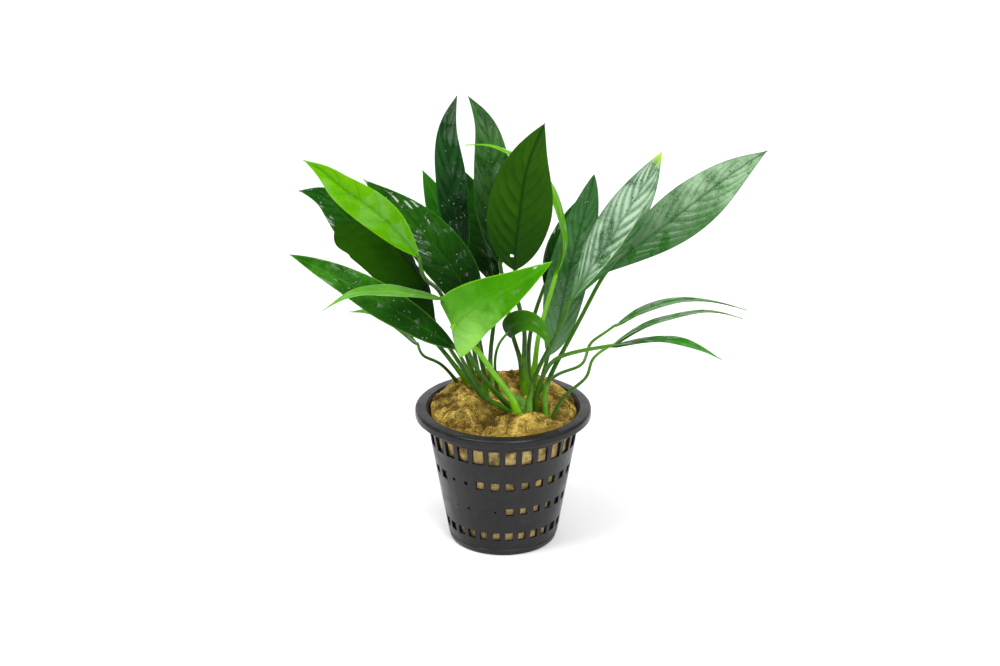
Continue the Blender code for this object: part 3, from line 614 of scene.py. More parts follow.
# Stalk radius; foot x and y; stalk points; midrib points; blade width; facing at base and tip; degrees that
# each half folds up; bluntness of base and tip; kind; look. In millimetres, heights from the rim.
LEAVES = [Leaf(*row) for row in (
    # 1: young lime leaf, upper left
    (0.80, (-8.5, 9), [(-12, 7, 16), (-16, 4, 28), (-20, -3.5, 40), (-24, -13, 48)],
     [(-25, -14, 54), (-29.5, -15, 60), (-34.5, -16.5, 66.5), (-40.5, -18.5, 72.5), (-47, -20.5, 78),
      (-52, -21.5, 83), (-58, -22, 87)],
     11, (0, -1, 0.05), (0, -1, 0.1), 12, (0.95, 1.1), "lime", "young"),
    # 2: dark leaf behind it
    (0.80, (-10.5, 10), [(-17.5, 11, 12), (-24.5, 13, 20), (-32.5, 15, 29.5)],
     [(-37.5, 17, 38), (-43, 19, 47.5), (-49.5, 21, 55.5), (-56, 22, 61), (-63.5, 21, 63.5)],
     13, (0, -0.85, 0.5), (-0.1, -0.8, 0.5), 10, (0.7, 1.1), "dark", "deep"),
    # 3: large dark leaf, middle left
    (0.80, (-5, -1), [(-6, -1, 11.5), (-8, -3, 21.5)],
     [(-9, -5, 30), (-13, -7, 44), (-18, -7, 52), (-24, -6, 59), (-32, -3, 66), (-42, 0, 74)],
     15, (0.1, -0.9, 0.3), (0.1, -0.9, 0.4), 10, (0.85, 1.1), "dark", "mottled"),
    # 4: broad leaf folded along its midrib and tipped over, its back turned
    (0.80, (-2, -8), [(-6.5, -7, 8), (-11, -7, 13.5), (-16, -6, 21)],
     [(-21, -4, 29), (-24, -5, 41), (-26, -6, 45.5), (-31, -6, 52.5), (-36.5, -5, 58), (-42.5, -3, 61),
      (-47, -1, 61), (-51, 2, 59.5)],
     23, (-0.4, 0.55, -0.7), (-0.4, 0.55, -0.7), 38, (0.5, 0.28), "dark", "folded"),
    # 5: long dark leaf, lower left
    (0.75, (3, -12), [(-2, -13, 6.2), (-6.5, -14, 9), (-9, -16, 14.5), (-11.5, -18, 21)],
     [(-14, -20, 27), (-20.5, -22, 32.5), (-29, -25, 39.5), (-38, -28, 46.5), (-47.5, -31, 53.5),
      (-61.5, -36, 63)],
     11, (0, -0.75, 0.6), (0, -0.6, 0.8), 8, (0.8, 0.9), "dark", "speckled"),
    # 6: arched leaf in front of it
    (0.80, (4, -8), [(-1, -11, 7.5), (-7, -15, 17), (-10.5, -17.5, 25), (-14, -20, 35)],
     [(-18.5, -21.5, 44), (-24, -31, 48.5), (-30.5, -40, 53), (-37.5, -45, 55), (-43.5, -49, 55.5),
      (-51.5, -51, 51.5)],
     9.5, (0, -0.3, 1), (0, -0.25, 1), 6, (0.45, 1.2), "green", "pale"),
    # 7: slim leaf under them
    (0.60, (-14, 13.5), [(-20, 10, 10), (-24.5, 6, 14), (-26, 4, 17)],
     [(-26.5, 3, 19.5), (-32, 0, 25.5), (-39, -4, 32), (-46.5, -8, 34.5)],
     8.5, (0.1, -0.2, 1), (0, -0.15, 1), 8, (0.8, 1.3), "green", "pale"),
    # 8: tip rising behind leaf 3
    (0.70, (-7.5, 13), [(-9.5, 18, 13), (-11.5, 23, 26.5)],
     [(-13.5, 28, 37.5), (-18, 32, 47), (-21.5, 35, 56), (-25.5, 37, 65)],
     9, (0.2, -0.9, 0.3), (0, -0.9, 0.3), 10, (0.75, 1.0), "green", "mid"),
    # 9: tall narrow dark leaf
    (0.80, (-5.5, 5), [(-6.5, 6, 13), (-8, 7, 22.5), (-10, 8, 35.5)],
     [(-11.5, 9, 47.5), (-14, 11, 54), (-15.5, 13, 62), (-16.5, 14, 72.5), (-17, 14, 85), (-14, 12, 96.5)],
     10, (0.3, -0.85, 0.3), (0.0, -0.9, 0.3), 12, (0.6, 0.95), "dark", "ribbed"),
    # 10: tallest leaf
    (0.80, (6.5, 8), [(5.5, 9, 11), (3, 10, 19.5), (1, 10, 31.5)],
     [(-1, 10, 43.5), (-2, 12, 53), (-3, 13, 63), (-3.5, 13, 74.5), (-5.5, 11, 87.5), (-10.5, 8, 97.5)],
     12, (0.1, -0.8, 0.3), (-0.1, -0.9, 0.3), 10, (0.7, 1.0), "dark", "wet"),
    # 11: leaf at the back, between the two tall ones
    (0.80, (-3, 9), [(-4, 13, 8), (-3.5, 17, 16), (-2.5, 20, 25)],
     [(-3, 22, 33), (-6, 26, 45.5), (-10, 30, 57.5), (-16, 33, 69)],
     12.5, (0, -0.9, 0.4), (0, -0.9, 0.4), 10, (0.7, 1.0), "dark", "deep"),
    # 12: broad leaf in the middle, back turned
    (0.85, (7.5, 4), [(6.5, 4, 14.5), (6.5, 3, 24), (4.5, 0, 35)],
     [(3.5, -4, 46.5), (4, -8, 57.5), (5, -11, 68), (6, -13, 77), (8, -14.5, 86), (12, -15, 96)],
     19.5, (0, 0.9, 0.3), (0.05, 0.9, 0.3), 8, (0.68, 1.0), "dark", "bitten"),
    # 13: young leaf arching over behind it
    (0.90, (9, 7), [(10, 4.5, 13), (11, 2.5, 22.5), (13.5, 1.5, 33)],
     [(16, 1, 42.5), (18.5, 0, 51.5), (17, -1, 63), (12, -1, 74), (2.5, -1, 82), (-5, -1, 85),
      (-11.5, -2, 85.5)],
     8, (0.9, -0.3, 0.3), (0.1, 0.05, 1), 6, (0.9, 1.3), "lime", "young"),
    # 14: lime leaf at the front, its halves drooping
    (1.00, (5, -14), [(2, -18, 11), (-3, -23, 20.5), (-8, -26.5, 29.5), (-12, -27.5, 33.5)],
     [(-15, -30.5, 38.5), (-8, -35, 46), (-1, -38, 51.5), (7, -40, 57.5), (14, -39, 62)],
     18, (0.1, -0.85, 0.5), (0.1, -0.8, 0.6), -10, (0.1, 0.9), "lime", "lush"),
    # 15: small leaf beside it
    (0.55, (-1.5, 2), [(-2.5, -4, 17), (-1, -7, 24)],
     [(1, -9, 27.5), (2.5, -11, 31), (6.5, -13, 33), (11, -16, 32), (14, -19, 27)],
     8.5, (0, -0.6, 0.8), (0.3, -0.6, 0.6), 6, (0.5, 1.2), "green", "plain"),
    # 16: dark leaf at the back right
    (0.80, (8.5, 12), [(8, 13, 12.5), (9.5, 15, 23)],
     [(13, 17, 33.5), (15.5, 19, 39), (18, 22, 44.5), (21, 25, 50), (23.5, 27, 55), (26, 29, 60)],
     9, (0, -0.9, 0.3), (0, -0.9, 0.4), 10, (0.75, 0.9), "dark", "deep"),
    # 17: short-stalked leaf low on the right
    (0.80, (10.5, 2), [(12.5, 3, 9.5)],
     [(14, 3.5, 15.5), (16.5, 6, 22), (18.5, 8.5, 32), (21, 11, 43), (24, 14, 54), (26.5, 16, 63),
      (28, 17, 70)],
     13, (0, -0.9, 0.3), (0, -0.9, 0.4), 6, (0.65, 0.8), "dark", "misted"),
    # 18: long glossy leaf, right
    (0.80, (8, -15), [(8, -14.5, 9), (11, -13, 18.5), (16.5, -12, 29.5)],
     [(20, -11, 38.5), (26.5, -10, 49.5), (34.5, -9, 62.5), (40.5, -8, 72.5), (47, -7, 85)],
     13, (-0.1, -0.8, 0.5), (0, -0.8, 0.5), 12, (1.1, 1.05), "dark", "sheen"),
    # 19: largest leaf, far right
    (0.80, (13, -11.5), [(13, -10.5, 9.5), (18, -9, 21.5), (24.5, -6, 33.5), (29, -4, 42)],
     [(31, -3, 45), (41, 0, 53), (50.5, 2, 60), (60, 4, 67), (70, 6, 74.5), (80, 8, 80.5)],
     16, (0, -1, 0.0), (0, -1, 0.05), 12, (1.15, 1.15), "dark", "satin"),
    # 20: topmost of the three slim arching leaves, lower right
    (0.60, (8, -3.5), [(14.5, -1, 9), (20, 3, 10.5), (25, 6, 12), (27, 9, 16.5), (30.5, 10, 19.5)],
     [(35, 11, 22.5), (44, 17, 25), (54.5, 24, 25.5), (66, 30, 23.5), (79, 36, 18)],
     7.5, (0, 0.12, 1), (0, 0.2, 1), 6, (1.1, 1.7), "green", "frosted"),
    # 21: the middle one
    (0.60, (15, -12), [(19.5, -11, 8.5), (25.5, -10, 14), (27, -9, 18.5), (30, -8, 21.5)],
     [(33, -7, 23), (43, -5, 28.5), (53, -3, 31), (63.5, 0, 31.5), (74, 3, 28)],
     7, (0, 0.22, 1), (0, 0.22, 1), 6, (1.0, 1.5), "green", "frosted"),
    # 22: the lowest one
    (0.75, (10, -11), [(10, -13, 8.5), (12.5, -16, 17.5), (16, -19, 23.5), (24.5, -23, 28)],
     [(32, -27, 31), (40, -31, 34), (48, -35, 36), (55.5, -40, 36), (63, -46, 34.5)],
     8.5, (0, 0.1, 1), (0, 0.1, 1), 4, (0.9, 1.4), "green", "mid"),
)]

ROWS = 150
COLUMNS = 45
SKIN = ROWS * COLUMNS
SPINE_STEPS = 600
STALK_STEPS = 90
STALK_END = 8


def unit(vectors):
    return vectors / np.linalg.norm(vectors, axis=-1, keepdims=True)


def placed(points):
    """Millimetres above the rim, as metres above the floor."""
    return np.asarray(points, float) * MM + [0, 0, POT_HEIGHT]


def vein_reach(leaf, slant):
    """How far forward a side vein runs from midrib to margin, as a share of the blade's length."""
    length = np.linalg.norm(np.diff(placed(leaf.midrib), axis=0), axis=1).sum()
    return slant * leaf.width * MM / 2 / length


def blade_axes(leaf, t):
    """Points on the midrib at each t, the way along it, the way the blade faces, turning from base to tip
    and square to the midrib, and the way across."""
    fine = smooth_curve(placed(leaf.midrib), SPINE_STEPS)
    at = np.linspace(0, 1, SPINE_STEPS)
    slope = np.gradient(fine, axis=0)
    spine = np.stack([np.interp(t, at, fine[:, axis]) for axis in range(3)], axis=1)
    along = unit(np.stack([np.interp(t, at, slope[:, axis]) for axis in range(3)], axis=1))
    base, tip = unit(np.array(leaf.face_base, float)), unit(np.array(leaf.face_tip, float))
    wanted = np.outer(1 - t, base) + np.outer(t, tip)
    face = unit(wanted - np.sum(wanted * along, axis=1, keepdims=True) * along)
    return spine, along, face, np.cross(along, face)


def blade_half_width(leaf, t):
    """Half width in proportion to t^a (1 - t)^b, and never under the stalk's own at the base."""
    a, b = leaf.bluntness
    widest = a / (a + b)
    half = leaf.width * MM / 2 * t**a * (1 - t) ** b / (widest**a * (1 - widest) ** b)
    return np.maximum(half, np.interp(t, [0, 1], [0.55 * leaf.radius, 0.16]) * MM)


def blade_relief(leaf, look, seed, t, v, half):
    """Height over the plain blade: the quilting between side veins, which lie where
    pairs * (1.04 t - lead(v)) is whole, the groove along the midrib, and the wavy margin."""
    tt, vv = t[:, None], np.abs(v)[None, :]
    reach = vv * half[:, None]
    lead = vein_reach(leaf, look["slant"]) * (0.7 * vv + 0.5 * vv**3)
    phase = look["pairs"] * (1.04 * tt - lead) + 0.5 * (v > 0)
    puff = np.abs(np.sin(np.pi * phase)) ** 0.75 - 0.55
    uneven = 0.6 + 1.2 * value_noise(tt * 6 + seed, v[None, :] * 2 + seed, seed)
    fading = (1 - vv**2) ** 0.7 * np.clip(reach / (1.2 * MM), 0, 1) * (half / half.max())[:, None]
    relief = look["relief"] * half.max() * puff * uneven * fading
    relief -= 0.30 * MM * np.exp(-((reach / (0.5 * MM)) ** 2)) * (1 - 0.7 * tt) * np.clip(tt / 0.05, 0, 1)
    rng = np.random.default_rng(seed)
    waves = np.sin(2 * np.pi * (rng.uniform(1.6, 2.6) * tt + rng.random()) + 1.2 * np.sign(v)[None, :])
    bends = fractal_noise(tt * 5 + seed, v[None, :] * 1.6 + 2 * seed, 91 + seed, 3) * np.clip(tt / 0.1, 0, 1)
    return relief + look["wave"] * half[:, None] * (waves * vv**2 * np.sin(np.pi * tt) + 1.2 * bends)


def blade_faces(hole):
    """Quads of the upper and the lower skin, then of the rim and of the bore round the hole (its first row
    and column and its size in cells)."""
    row, column, tall, wide = hole
    r, c = np.arange(ROWS - 1)[:, None], np.arange(COLUMNS - 1)[None, :]
    cell = r * COLUMNS + c
    whole = ~((r >= row) & (r < row + tall) & (c >= column) & (c < column + wide))
    upper = np.stack([cell, cell + 1, cell + COLUMNS + 1, cell + COLUMNS], axis=-1)[whole]
    near = row * COLUMNS + column
    far = near + tall * COLUMNS + wide
    down, over = np.arange(tall) * COLUMNS, np.arange(wide)
    around_hole = np.concatenate([near + over, near + wide + down, far - over, far - wide - down])
    last = (ROWS - 1) * COLUMNS
    margin = np.concatenate([
        np.arange(COLUMNS), np.arange(2, ROWS + 1) * COLUMNS - 1,
        np.arange(last + COLUMNS - 2, last - 1, -1), np.arange(ROWS - 2, 0, -1) * COLUMNS])
    walls = []
    for loop in (margin, around_hole[::-1]):
        onward = np.roll(loop, -1)
        walls.append(np.stack([loop, loop + SKIN, onward + SKIN, onward], axis=1))
    return upper, upper[:, ::-1] + SKIN, np.concatenate(walls)


def blade(leaf, look, seed):
    """Two skins on one middle surface of t, from base to tip, and v, from margin to margin: the midrib's
    point plus v times the half width across, each half folded up from the midrib, raised by the relief.
    Gives the points and faces, each point's uv and half width in mm, and 1 for each face of the lower skin
    or 0 for another."""
    t = np.linspace(0, 1, ROWS) ** 0.94
    w = np.linspace(-1, 1, COLUMNS)
    v = np.sign(w) * np.abs(w) ** 1.25
    spine, along, face, across = blade_axes(leaf, t)
    half = blade_half_width(leaf, t)
    side = np.sqrt(v * v + 0.0016) - 0.04
    out, up = np.cos(np.radians(leaf.fold)), np.sin(np.radians(leaf.fold))
    normal = face[:, None] * out - across[:, None] * (np.tanh(v * 12) * up)[None, :, None]
    sideways = across[:, None] * (v * out)[None, :, None] + face[:, None] * (side * up)[None, :, None]
    tt, vv = t[:, None], np.abs(v)[None, :]
    backward = look["corner"] * half[:, None] * np.clip(v, 0, 1)[None, :] ** 0.7 * (1 - tt) ** 2.5
    middle = spine[:, None] + sideways * half[:, None, None] - along[:, None] * backward[..., None]
    middle = middle + normal * blade_relief(leaf, look, seed, t, v, half)[..., None]
    thick = 0.42 * MM * (0.18 + 0.82 * (1 - vv**2) ** 0.8) * (1 - 0.45 * tt)
    rib = 0.45 * MM * np.exp(-((vv * half[:, None] / (0.45 * MM)) ** 2)) * (1 - 0.85 * tt)
    top = middle + normal * (thick / 2)[..., None]
    under = middle - normal * (thick / 2 + rib)[..., None]
    points = np.concatenate([top.reshape(-1, 3), under.reshape(-1, 3)])
    uv = np.stack(np.broadcast_arrays(tt, (v[None, :] + 1) / 2), axis=-1).reshape(-1, 2)
    faces = blade_faces(look.get("hole", (0, 0, 0, 0)))
    skins = np.repeat([0, 1, 0], [len(part) for part in faces])
    span = np.tile(np.repeat(half / MM, COLUMNS), 2)
    return points, np.concatenate(faces), np.tile(uv, (2, 1)), span, skins


def vein_group():
    """Masks of the midrib, the side veins and the drops on a blade. Along its length u and across it w, a
    side vein runs where pairs * (1.04 u - reach * (0.7 w + 0.5 w^3)) is a whole number, the same rule as in
    its relief."""
    group = bpy.data.node_groups.new("leaf_veins", "ShaderNodeTree")
    for name in ("Pairs", "Reach"):
        group.interface.new_socket(name, in_out="INPUT", socket_type="NodeSocketFloat")
    given = group.nodes.new("NodeGroupInput").outputs
    uv = add_node(group, "SeparateXYZ", {"Vector": add_node(group, "UVMap", uv_map="UVMap").outputs[0]})
    span = add_node(group, "Attribute", attribute_name="span").outputs["Fac"]
    along, across = uv.outputs[0], subtract(group, multiply(group, uv.outputs[1], 2.0), 1.0)
    w = calculate(group, "ABSOLUTE", across)
    cubed = multiply(group, calculate(group, "POWER", w, 3.0), 0.5)
    lead = multiply(group, add(group, multiply(group, w, 0.7), cubed), given["Reach"])
    phase = subtract(group, multiply(group, along, 1.04), lead)
    side = multiply(group, calculate(group, "GREATER_THAN", across, 0.0), 0.5)
    turn = calculate(group, "FRACT", add(group, multiply(group, phase, given["Pairs"]), side))
    near = multiply(group, calculate(group, "ABSOLUTE", subtract(group, turn, 0.5)), 2.0)
    reach_mm = multiply(group, w, span)
    place = add_node(group, "TexCoord").outputs["Object"]
    beads = add_node(group, "TexVoronoi", {"Vector": place, "Scale": 620.0})
    lottery = add_node(group, "SeparateColor", {"Color": beads.outputs["Color"]}).outputs[0]
    dome = remap(group, beads.outputs["Distance"], 0.0, 0.36, 1.0, 0.0)
    net = add_node(group, "TexVoronoi", {"Vector": place, "Scale": 900.0}, feature="DISTANCE_TO_EDGE")
    crest = remap(group, near, 0.25, 0.75, 1.0, 0.0)
    masks = {
        "Midrib": remap(group, reach_mm, 0.2, 0.55, 1.0, 0.0),
        "Laterals": multiply(group, remap(group, near, 0.86, 0.98), remap(group, w, 0.55, 1.0, 1.0, 0.0)),
        "Ridges": multiply(group, crest, remap(group, w, 0.75, 1.0, 1.0, 0.0)),
        "Base": subtract(group, 1.0, along),
        "Across": across,
        "Edge": remap(group, subtract(group, span, reach_mm), 0.0, 0.5, 1.0, 0.0),
        "Drops": multiply(group, dome, remap(group, lottery, 0.72, 0.74)),
        "Net": remap(group, net.outputs["Distance"], 0.0, 0.2),
    }
    for name in masks:
        group.interface.new_socket(name, in_out="OUTPUT", socket_type="NodeSocketFloat")
    out = group.nodes.new("NodeGroupOutput")
    for name, mask in masks.items():
        group.links.new(mask, out.inputs[name])
    return group


VEINS = vein_group()


def leaf_skin(name, look, reach):
    """Blade skin: cloudy green, with painted highlights on the ridges between side veins, a base of another
    tone (mostly painted shade, a painted highlight on the lush look), a shaded half, a rim and a tip of other
    tones, under a wet coat broken by dry patches and beaded with drops, darker under each drop partly from
    dark specks and partly as the drops' painted dark centres."""
    deep, light, vein = look["tones"]
    rough, dry, soft = look["rough"], look["dry"], look["contrast"]
    sockets = {"Specular_IOR_Level": 0.05, "Coat_IOR": 1.5, "Coat_Roughness": look["film"]}
    material, tree, shader = new_material(name, rough, **sockets)
    node = add_node(tree, "Group", node_tree=VEINS)
    node.inputs["Pairs"].default_value = look["pairs"]
    node.inputs["Reach"].default_value = reach
    veins = node.outputs
    patches, grain = mottling(tree, 90.0, 1300.0)
    cloud = remap(tree, patches, 0.51 - soft, 0.51 + soft, 0.0, 1.0 - 0.6 * look["ridge"])
    colour = mix_colours(tree, cloud, deep, light)
    colour = mix_colours(tree, remap(tree, grain, 0.4, 0.75, 0.0, 0.35), colour, deep)
    # Painted highlights: the light tone laid along the ridges between side veins, where light catches the
    # quilting.
    ridges = remap(tree, patches, 0.51 - 2 * soft, 0.51 + soft, 0.0, look["ridge"])
    colour = mix_colours(tree, multiply(tree, veins["Ridges"], ridges), colour, light)
    colour = mix_colours(tree, multiply(tree, veins["Net"], 0.25), colour, light)
    # Painted shade: the base tone darkens the base where other leaves shade it; on the lush look it is a
    # painted highlight, kept mostly to one half by the corner setting.
    base_shade_or_highlight, base_start = look["base"]
    uneven = add(tree, veins["Base"], remap(tree, patches, 0.3, 0.7, -0.1, 0.1))
    near_base = remap(tree, uneven, base_start, 0.4 * base_start + 0.6, 0.0, 0.9)
    low_side = remap(tree, veins["Across"], -0.3, 0.8, 1.0 - look["corner"], 1.0)
    colour = mix_colours(tree, multiply(tree, near_base, low_side), colour, base_shade_or_highlight)
    start, end, amount, line = look["shade"]
    below_tip = remap(tree, veins["Base"], 0.22, 0.42)
    turned = add(tree, veins["Across"], remap(tree, patches, 0.3, 0.7, -0.04, 0.04))
    turned = multiply(tree, remap(tree, turned, start, end), below_tip)
    colour = mix_colours(tree, multiply(tree, turned, amount), colour, deep)
    from_line = calculate(tree, "ABSOLUTE", subtract(tree, veins["Across"], start))
    pale_line = multiply(tree, remap(tree, from_line, 0.01, 0.04, line, 0.0), below_tip)
    colour = mix_colours(tree, pale_line, colour, (0.32, 0.46, 0.20))
    colour = mix_colours(tree, multiply(tree, veins["Laterals"], look["vein"]), colour, vein)
    colour = mix_colours(tree, multiply(tree, veins["Midrib"], min(1.0, look["vein"] * 1.4)), colour, vein)
    colour = mix_colours(tree, multiply(tree, veins["Edge"], 0.5), colour, look["rim"])
    at_tip = remap(tree, veins["Base"], 0.03, 0.10, look["tip"], 0.0)
    colour = mix_colours(tree, at_tip, colour, (0.30, 0.55, 0.01))
    # Darker under each drop: partly dark specks, partly the painted dark centres of the water drops.
    colour = mix_colours(tree, multiply(tree, veins["Drops"], 0.7 * look["drops"]), colour, deep)
    tree.links.new(colour, shader.inputs["Base Color"])
    place = add_node(tree, "TexCoord").outputs["Object"]
    inputs = {"Vector": place, "Scale": 150.0, "Detail": 6.0, "Distortion": 1.0}
    film = add_node(tree, "TexNoise", inputs).outputs["Fac"]
    dryness = remap(tree, film, 0.70 - 0.25 * dry, 0.74 - 0.25 * dry)
    tree.links.new(remap(tree, dryness, 0.0, 1.0, look["coat"], 0.0), shader.inputs["Coat Weight"])
    tree.links.new(remap(tree, dryness, 0.0, 1.0, rough, min(1.0, rough + 0.3)), shader.inputs["Roughness"])
    height = add(tree, multiply(tree, veins["Drops"], look["drops"]), multiply(tree, grain, 0.10))
    roughen(tree, shader, add(tree, height, multiply(tree, film, 0.5)), 0.5, 0.3 * MM)
    return material


def blade_look(deep, light, vein_tone, rim, vein, rough, coat, film, dry, drops, pairs, slant, relief, wave,
               ridge=0.0, base=None, corner=0.0, contrast=0.15, tip=0.0, shade=(0.0, 1.0, 0.0, 0.0)):
    """How a blade looks. deep, light, vein_tone and rim: its tones between clouds, in them, on its veins and
    its edge. vein: how strongly the veins are coloured. rough, coat, film, dry, drops: roughness, weight of
    the wet coat, the coat's own roughness, how much of it is dry, how beaded. pairs, slant: how many side
    veins and how far forward they run. relief, wave, ridge: how quilted and wavy it is, and how strong the
    painted highlight on its ridges is. base: the tone at its base and where that starts, mostly darker as
    painted shade where other leaves shade it, and on the lush look paler as a painted highlight. corner: how
    far its lower half is drawn back beside the stalk. contrast: how soft its clouds are. tip: how lime its
    tip is. shade: from where to where across it turns into shade, how much, and how pale a line leads it."""
    # The default base tone is painted shade: three tenths of the deep tone.
    base = base or (tuple(0.3 * part for part in deep), 0.45)
    return {"tones": (deep, light, vein_tone), "rim": rim, "vein": vein, "rough": rough, "coat": coat,
            "film": film, "dry": dry, "drops": drops, "pairs": float(pairs), "slant": slant, "relief": relief,
            "wave": wave, "ridge": ridge, "base": base, "corner": corner, "contrast": contrast, "tip": tip,
            "shade": shade}


LOOKS = {
    "deep": blade_look(
        (0.004, 0.036, 0.001), (0.010, 0.070, 0.003), (0.02, 0.10, 0.006), (0.02, 0.12, 0.006),
        0.25, 0.40, 0.9, 0.18, 1.10, 0.9, 9, 1.3, 0.07, 0.05, 0.3),
    "folded": blade_look(
        (0.006, 0.036, 0.0005), (0.010, 0.058, 0.001), (0.02, 0.10, 0.006), (0.02, 0.12, 0.006),
        0.1, 0.45, 0.4, 0.2, 1.2, 0.3, 9, 1.3, 0.02, 0.01),
    "ribbed": blade_look(
        (0.003, 0.034, 0.003), (0.022, 0.085, 0.022), (0.006, 0.04, 0.005), (0.02, 0.12, 0.01),
        0.5, 0.35, 1.0, 0.22, 0.95, 0.9, 6, 2.6, 0.17, 0.05, 0.5),
    "mottled": blade_look(
        (0.004, 0.034, 0.001), (0.014, 0.080, 0.003), (0.02, 0.09, 0.006), (0.03, 0.14, 0.01),
        0.15, 0.40, 1.0, 0.16, 1.15, 1.0, 9, 1.9, 0.07, 0.06, 0.3, contrast=0.10),
    "speckled": blade_look(
        (0.006, 0.050, 0.001), (0.040, 0.20, 0.008), (0.04, 0.20, 0.012), (0.14, 0.34, 0.05),
        0.15, 0.40, 1.0, 0.16, 1.12, 1.0, 8, 1.4, 0.05, 0.04, 0.3, ((0.003, 0.030, 0.001), 0.3),
        contrast=0.09),
    # Leaf 10: the pale bluish light tone is partly its own mottling and partly painted highlight streaks.
    "wet": blade_look(
        (0.008, 0.062, 0.003), (0.070, 0.190, 0.045), (0.012, 0.06, 0.006), (0.03, 0.14, 0.01),
        0.3, 0.30, 1.0, 0.2, 0.80, 1.0, 8, 1.8, 0.10, 0.05, 0.5, contrast=0.09),
    "misted": blade_look(
        (0.010, 0.070, 0.008), (0.050, 0.150, 0.042), (0.010, 0.055, 0.008), (0.02, 0.10, 0.012),
        0.5, 0.42, 0.8, 0.30, 0.6, 1.0, 11, 2.0, 0.09, 0.04, 0.5, ((0.062, 0.16, 0.056), 0.55)),
    # Leaf 18: the pale light tone is painted sheen, and the strong ridge tone paints highlights along its
    # quilting.
    "sheen": blade_look(
        (0.008, 0.070, 0.005), (0.330, 0.480, 0.330), (0.010, 0.06, 0.006), (0.015, 0.08, 0.008),
        0.3, 0.36, 1.0, 0.26, 0.55, 0.6, 9, 2.6, 0.15, 0.03, 0.9, ((0.04, 0.14, 0.03), 0.75),
        contrast=0.07, tip=0.9, shade=(0.62, 0.68, 0.9, 0.8)),
    # Leaf 19: the pale light tone is painted sheen.
    "satin": blade_look(
        (0.012, 0.095, 0.005), (0.330, 0.490, 0.300), (0.012, 0.07, 0.008), (0.008, 0.06, 0.004),
        0.4, 0.36, 0.7, 0.28, 0.55, 0.6, 11, 2.2, 0.06, 0.02, 0.35, ((0.006, 0.078, 0.001), 0.42),
        contrast=0.10, shade=(-0.1, 0.6, 0.6, 0.0)),
    "mid": blade_look(
        (0.010, 0.085, 0.002), (0.022, 0.150, 0.006), (0.04, 0.20, 0.012), (0.06, 0.24, 0.02),
        0.3, 0.4, 0.4, 0.25, 0.8, 0.5, 7, 1.5, 0.03, 0.03),
    "plain": blade_look(
        (0.016, 0.078, 0.001), (0.030, 0.125, 0.002), (0.02, 0.10, 0.003), (0.06, 0.20, 0.01),
        0.3, 0.5, 0.15, 0.25, 0.9, 0.5, 7, 1.5, 0.01, 0.0),
    "pale": blade_look(
        (0.050, 0.18, 0.008), (0.085, 0.26, 0.018), (0.11, 0.33, 0.03), (0.16, 0.36, 0.08),
        0.3, 0.4, 0.5, 0.25, 0.7, 0.4, 8, 1.6, 0.03, 0.02, 0.0, ((0.05, 0.17, 0.006), 0.6)),
    # Leaves 20 and 21: the greyish pale light tone is partly painted grazing reflection over their green.
    "frosted": blade_look(
        (0.020, 0.10, 0.012), (0.065, 0.18, 0.050), (0.08, 0.22, 0.04), (0.14, 0.32, 0.08),
        0.2, 0.45, 0.6, 0.35, 0.7, 0.6, 8, 1.6, 0.03, 0.02, 0.0, ((0.02, 0.10, 0.006), 0.6)),
    "young": blade_look(
        (0.075, 0.28, 0.0005), (0.130, 0.39, 0.001), (0.045, 0.22, 0.0005), (0.17, 0.46, 0.002),
        0.5, 0.35, 0.6, 0.2, 0.9, 0.4, 6, 1.2, 0.05, 0.03, 0.3, ((0.07, 0.27, 0.0005), 0.5)),
    # Leaf 14: the pale base tone is a painted highlight, mostly on one half of its base.
    "lush": blade_look(
        (0.024, 0.150, 0.0001), (0.038, 0.195, 0.0001), (0.050, 0.23, 0.0002), (0.20, 0.50, 0.002),
        0.3, 0.35, 0.7, 0.14, 1.2, 0.2, 8, 1.1, 0.015, 0.03, 0.0, ((0.24, 0.54, 0.085), 0.56), corner=0.85),
    "olive back": blade_look(
        (0.012, 0.058, 0.001), (0.022, 0.080, 0.001), (0.006, 0.036, 0.001), (0.02, 0.09, 0.002),
        0.75, 0.6, 0.0, 0.2, 0.0, 0.0, 9, 1.3, 0.08, 0.06, 0.3, ((0.010, 0.05, 0.001), 0.6)),
    "shaded back": blade_look(
        (0.007, 0.040, 0.0001), (0.013, 0.064, 0.0002), (0.003, 0.022, 0.0005), (0.02, 0.08, 0.002),
        0.3, 0.9, 0.0, 0.2, 0.0, 0.0, 9, 1.3, 0.02, 0.01),
    "green back": blade_look(
        (0.024, 0.12, 0.005), (0.045, 0.18, 0.010), (0.03, 0.12, 0.006), (0.08, 0.26, 0.03),
        0.5, 0.55, 0.0, 0.2, 0.0, 0.0, 8, 1.4, 0.05, 0.04),
    "lime back": blade_look(
        (0.080, 0.30, 0.001), (0.120, 0.40, 0.002), (0.06, 0.25, 0.001), (0.14, 0.42, 0.002),
        0.5, 0.5, 0.0, 0.2, 0.0, 0.0, 7, 1.1, 0.05, 0.05),
}
# A hole eaten through the blade: its first row and column of cells, then how many each way.
LOOKS["bitten"] = {**LOOKS["deep"], "hole": (12, 25, 3, 5)}
BACKS = {"dark": "olive back", "folded": "shaded back", "green": "green back", "lime": "lime back"}
STALK_TONES = {
    # foot, middle, top, and how far up the foot's tone reaches
    "dark": ((0.10, 0.27, 0.004), (0.017, 0.068, 0.001), (0.030, 0.115, 0.002), 0.28),
    "green": ((0.040, 0.100, 0.002), (0.028, 0.100, 0.002), (0.065, 0.20, 0.006), 0.3),
    "lime": ((0.20, 0.50, 0.006), (0.11, 0.34, 0.005), (0.15, 0.42, 0.008), 0.25),
}
STALKS = {tone: plant_stem(f"{tone}_stalk", *row, roughness=0.34) for tone, row in STALK_TONES.items()}
# Leaf 1's stalk is dark though its blade is lime; these are lime right down.
BRIGHT_STALKS = (13, 14)
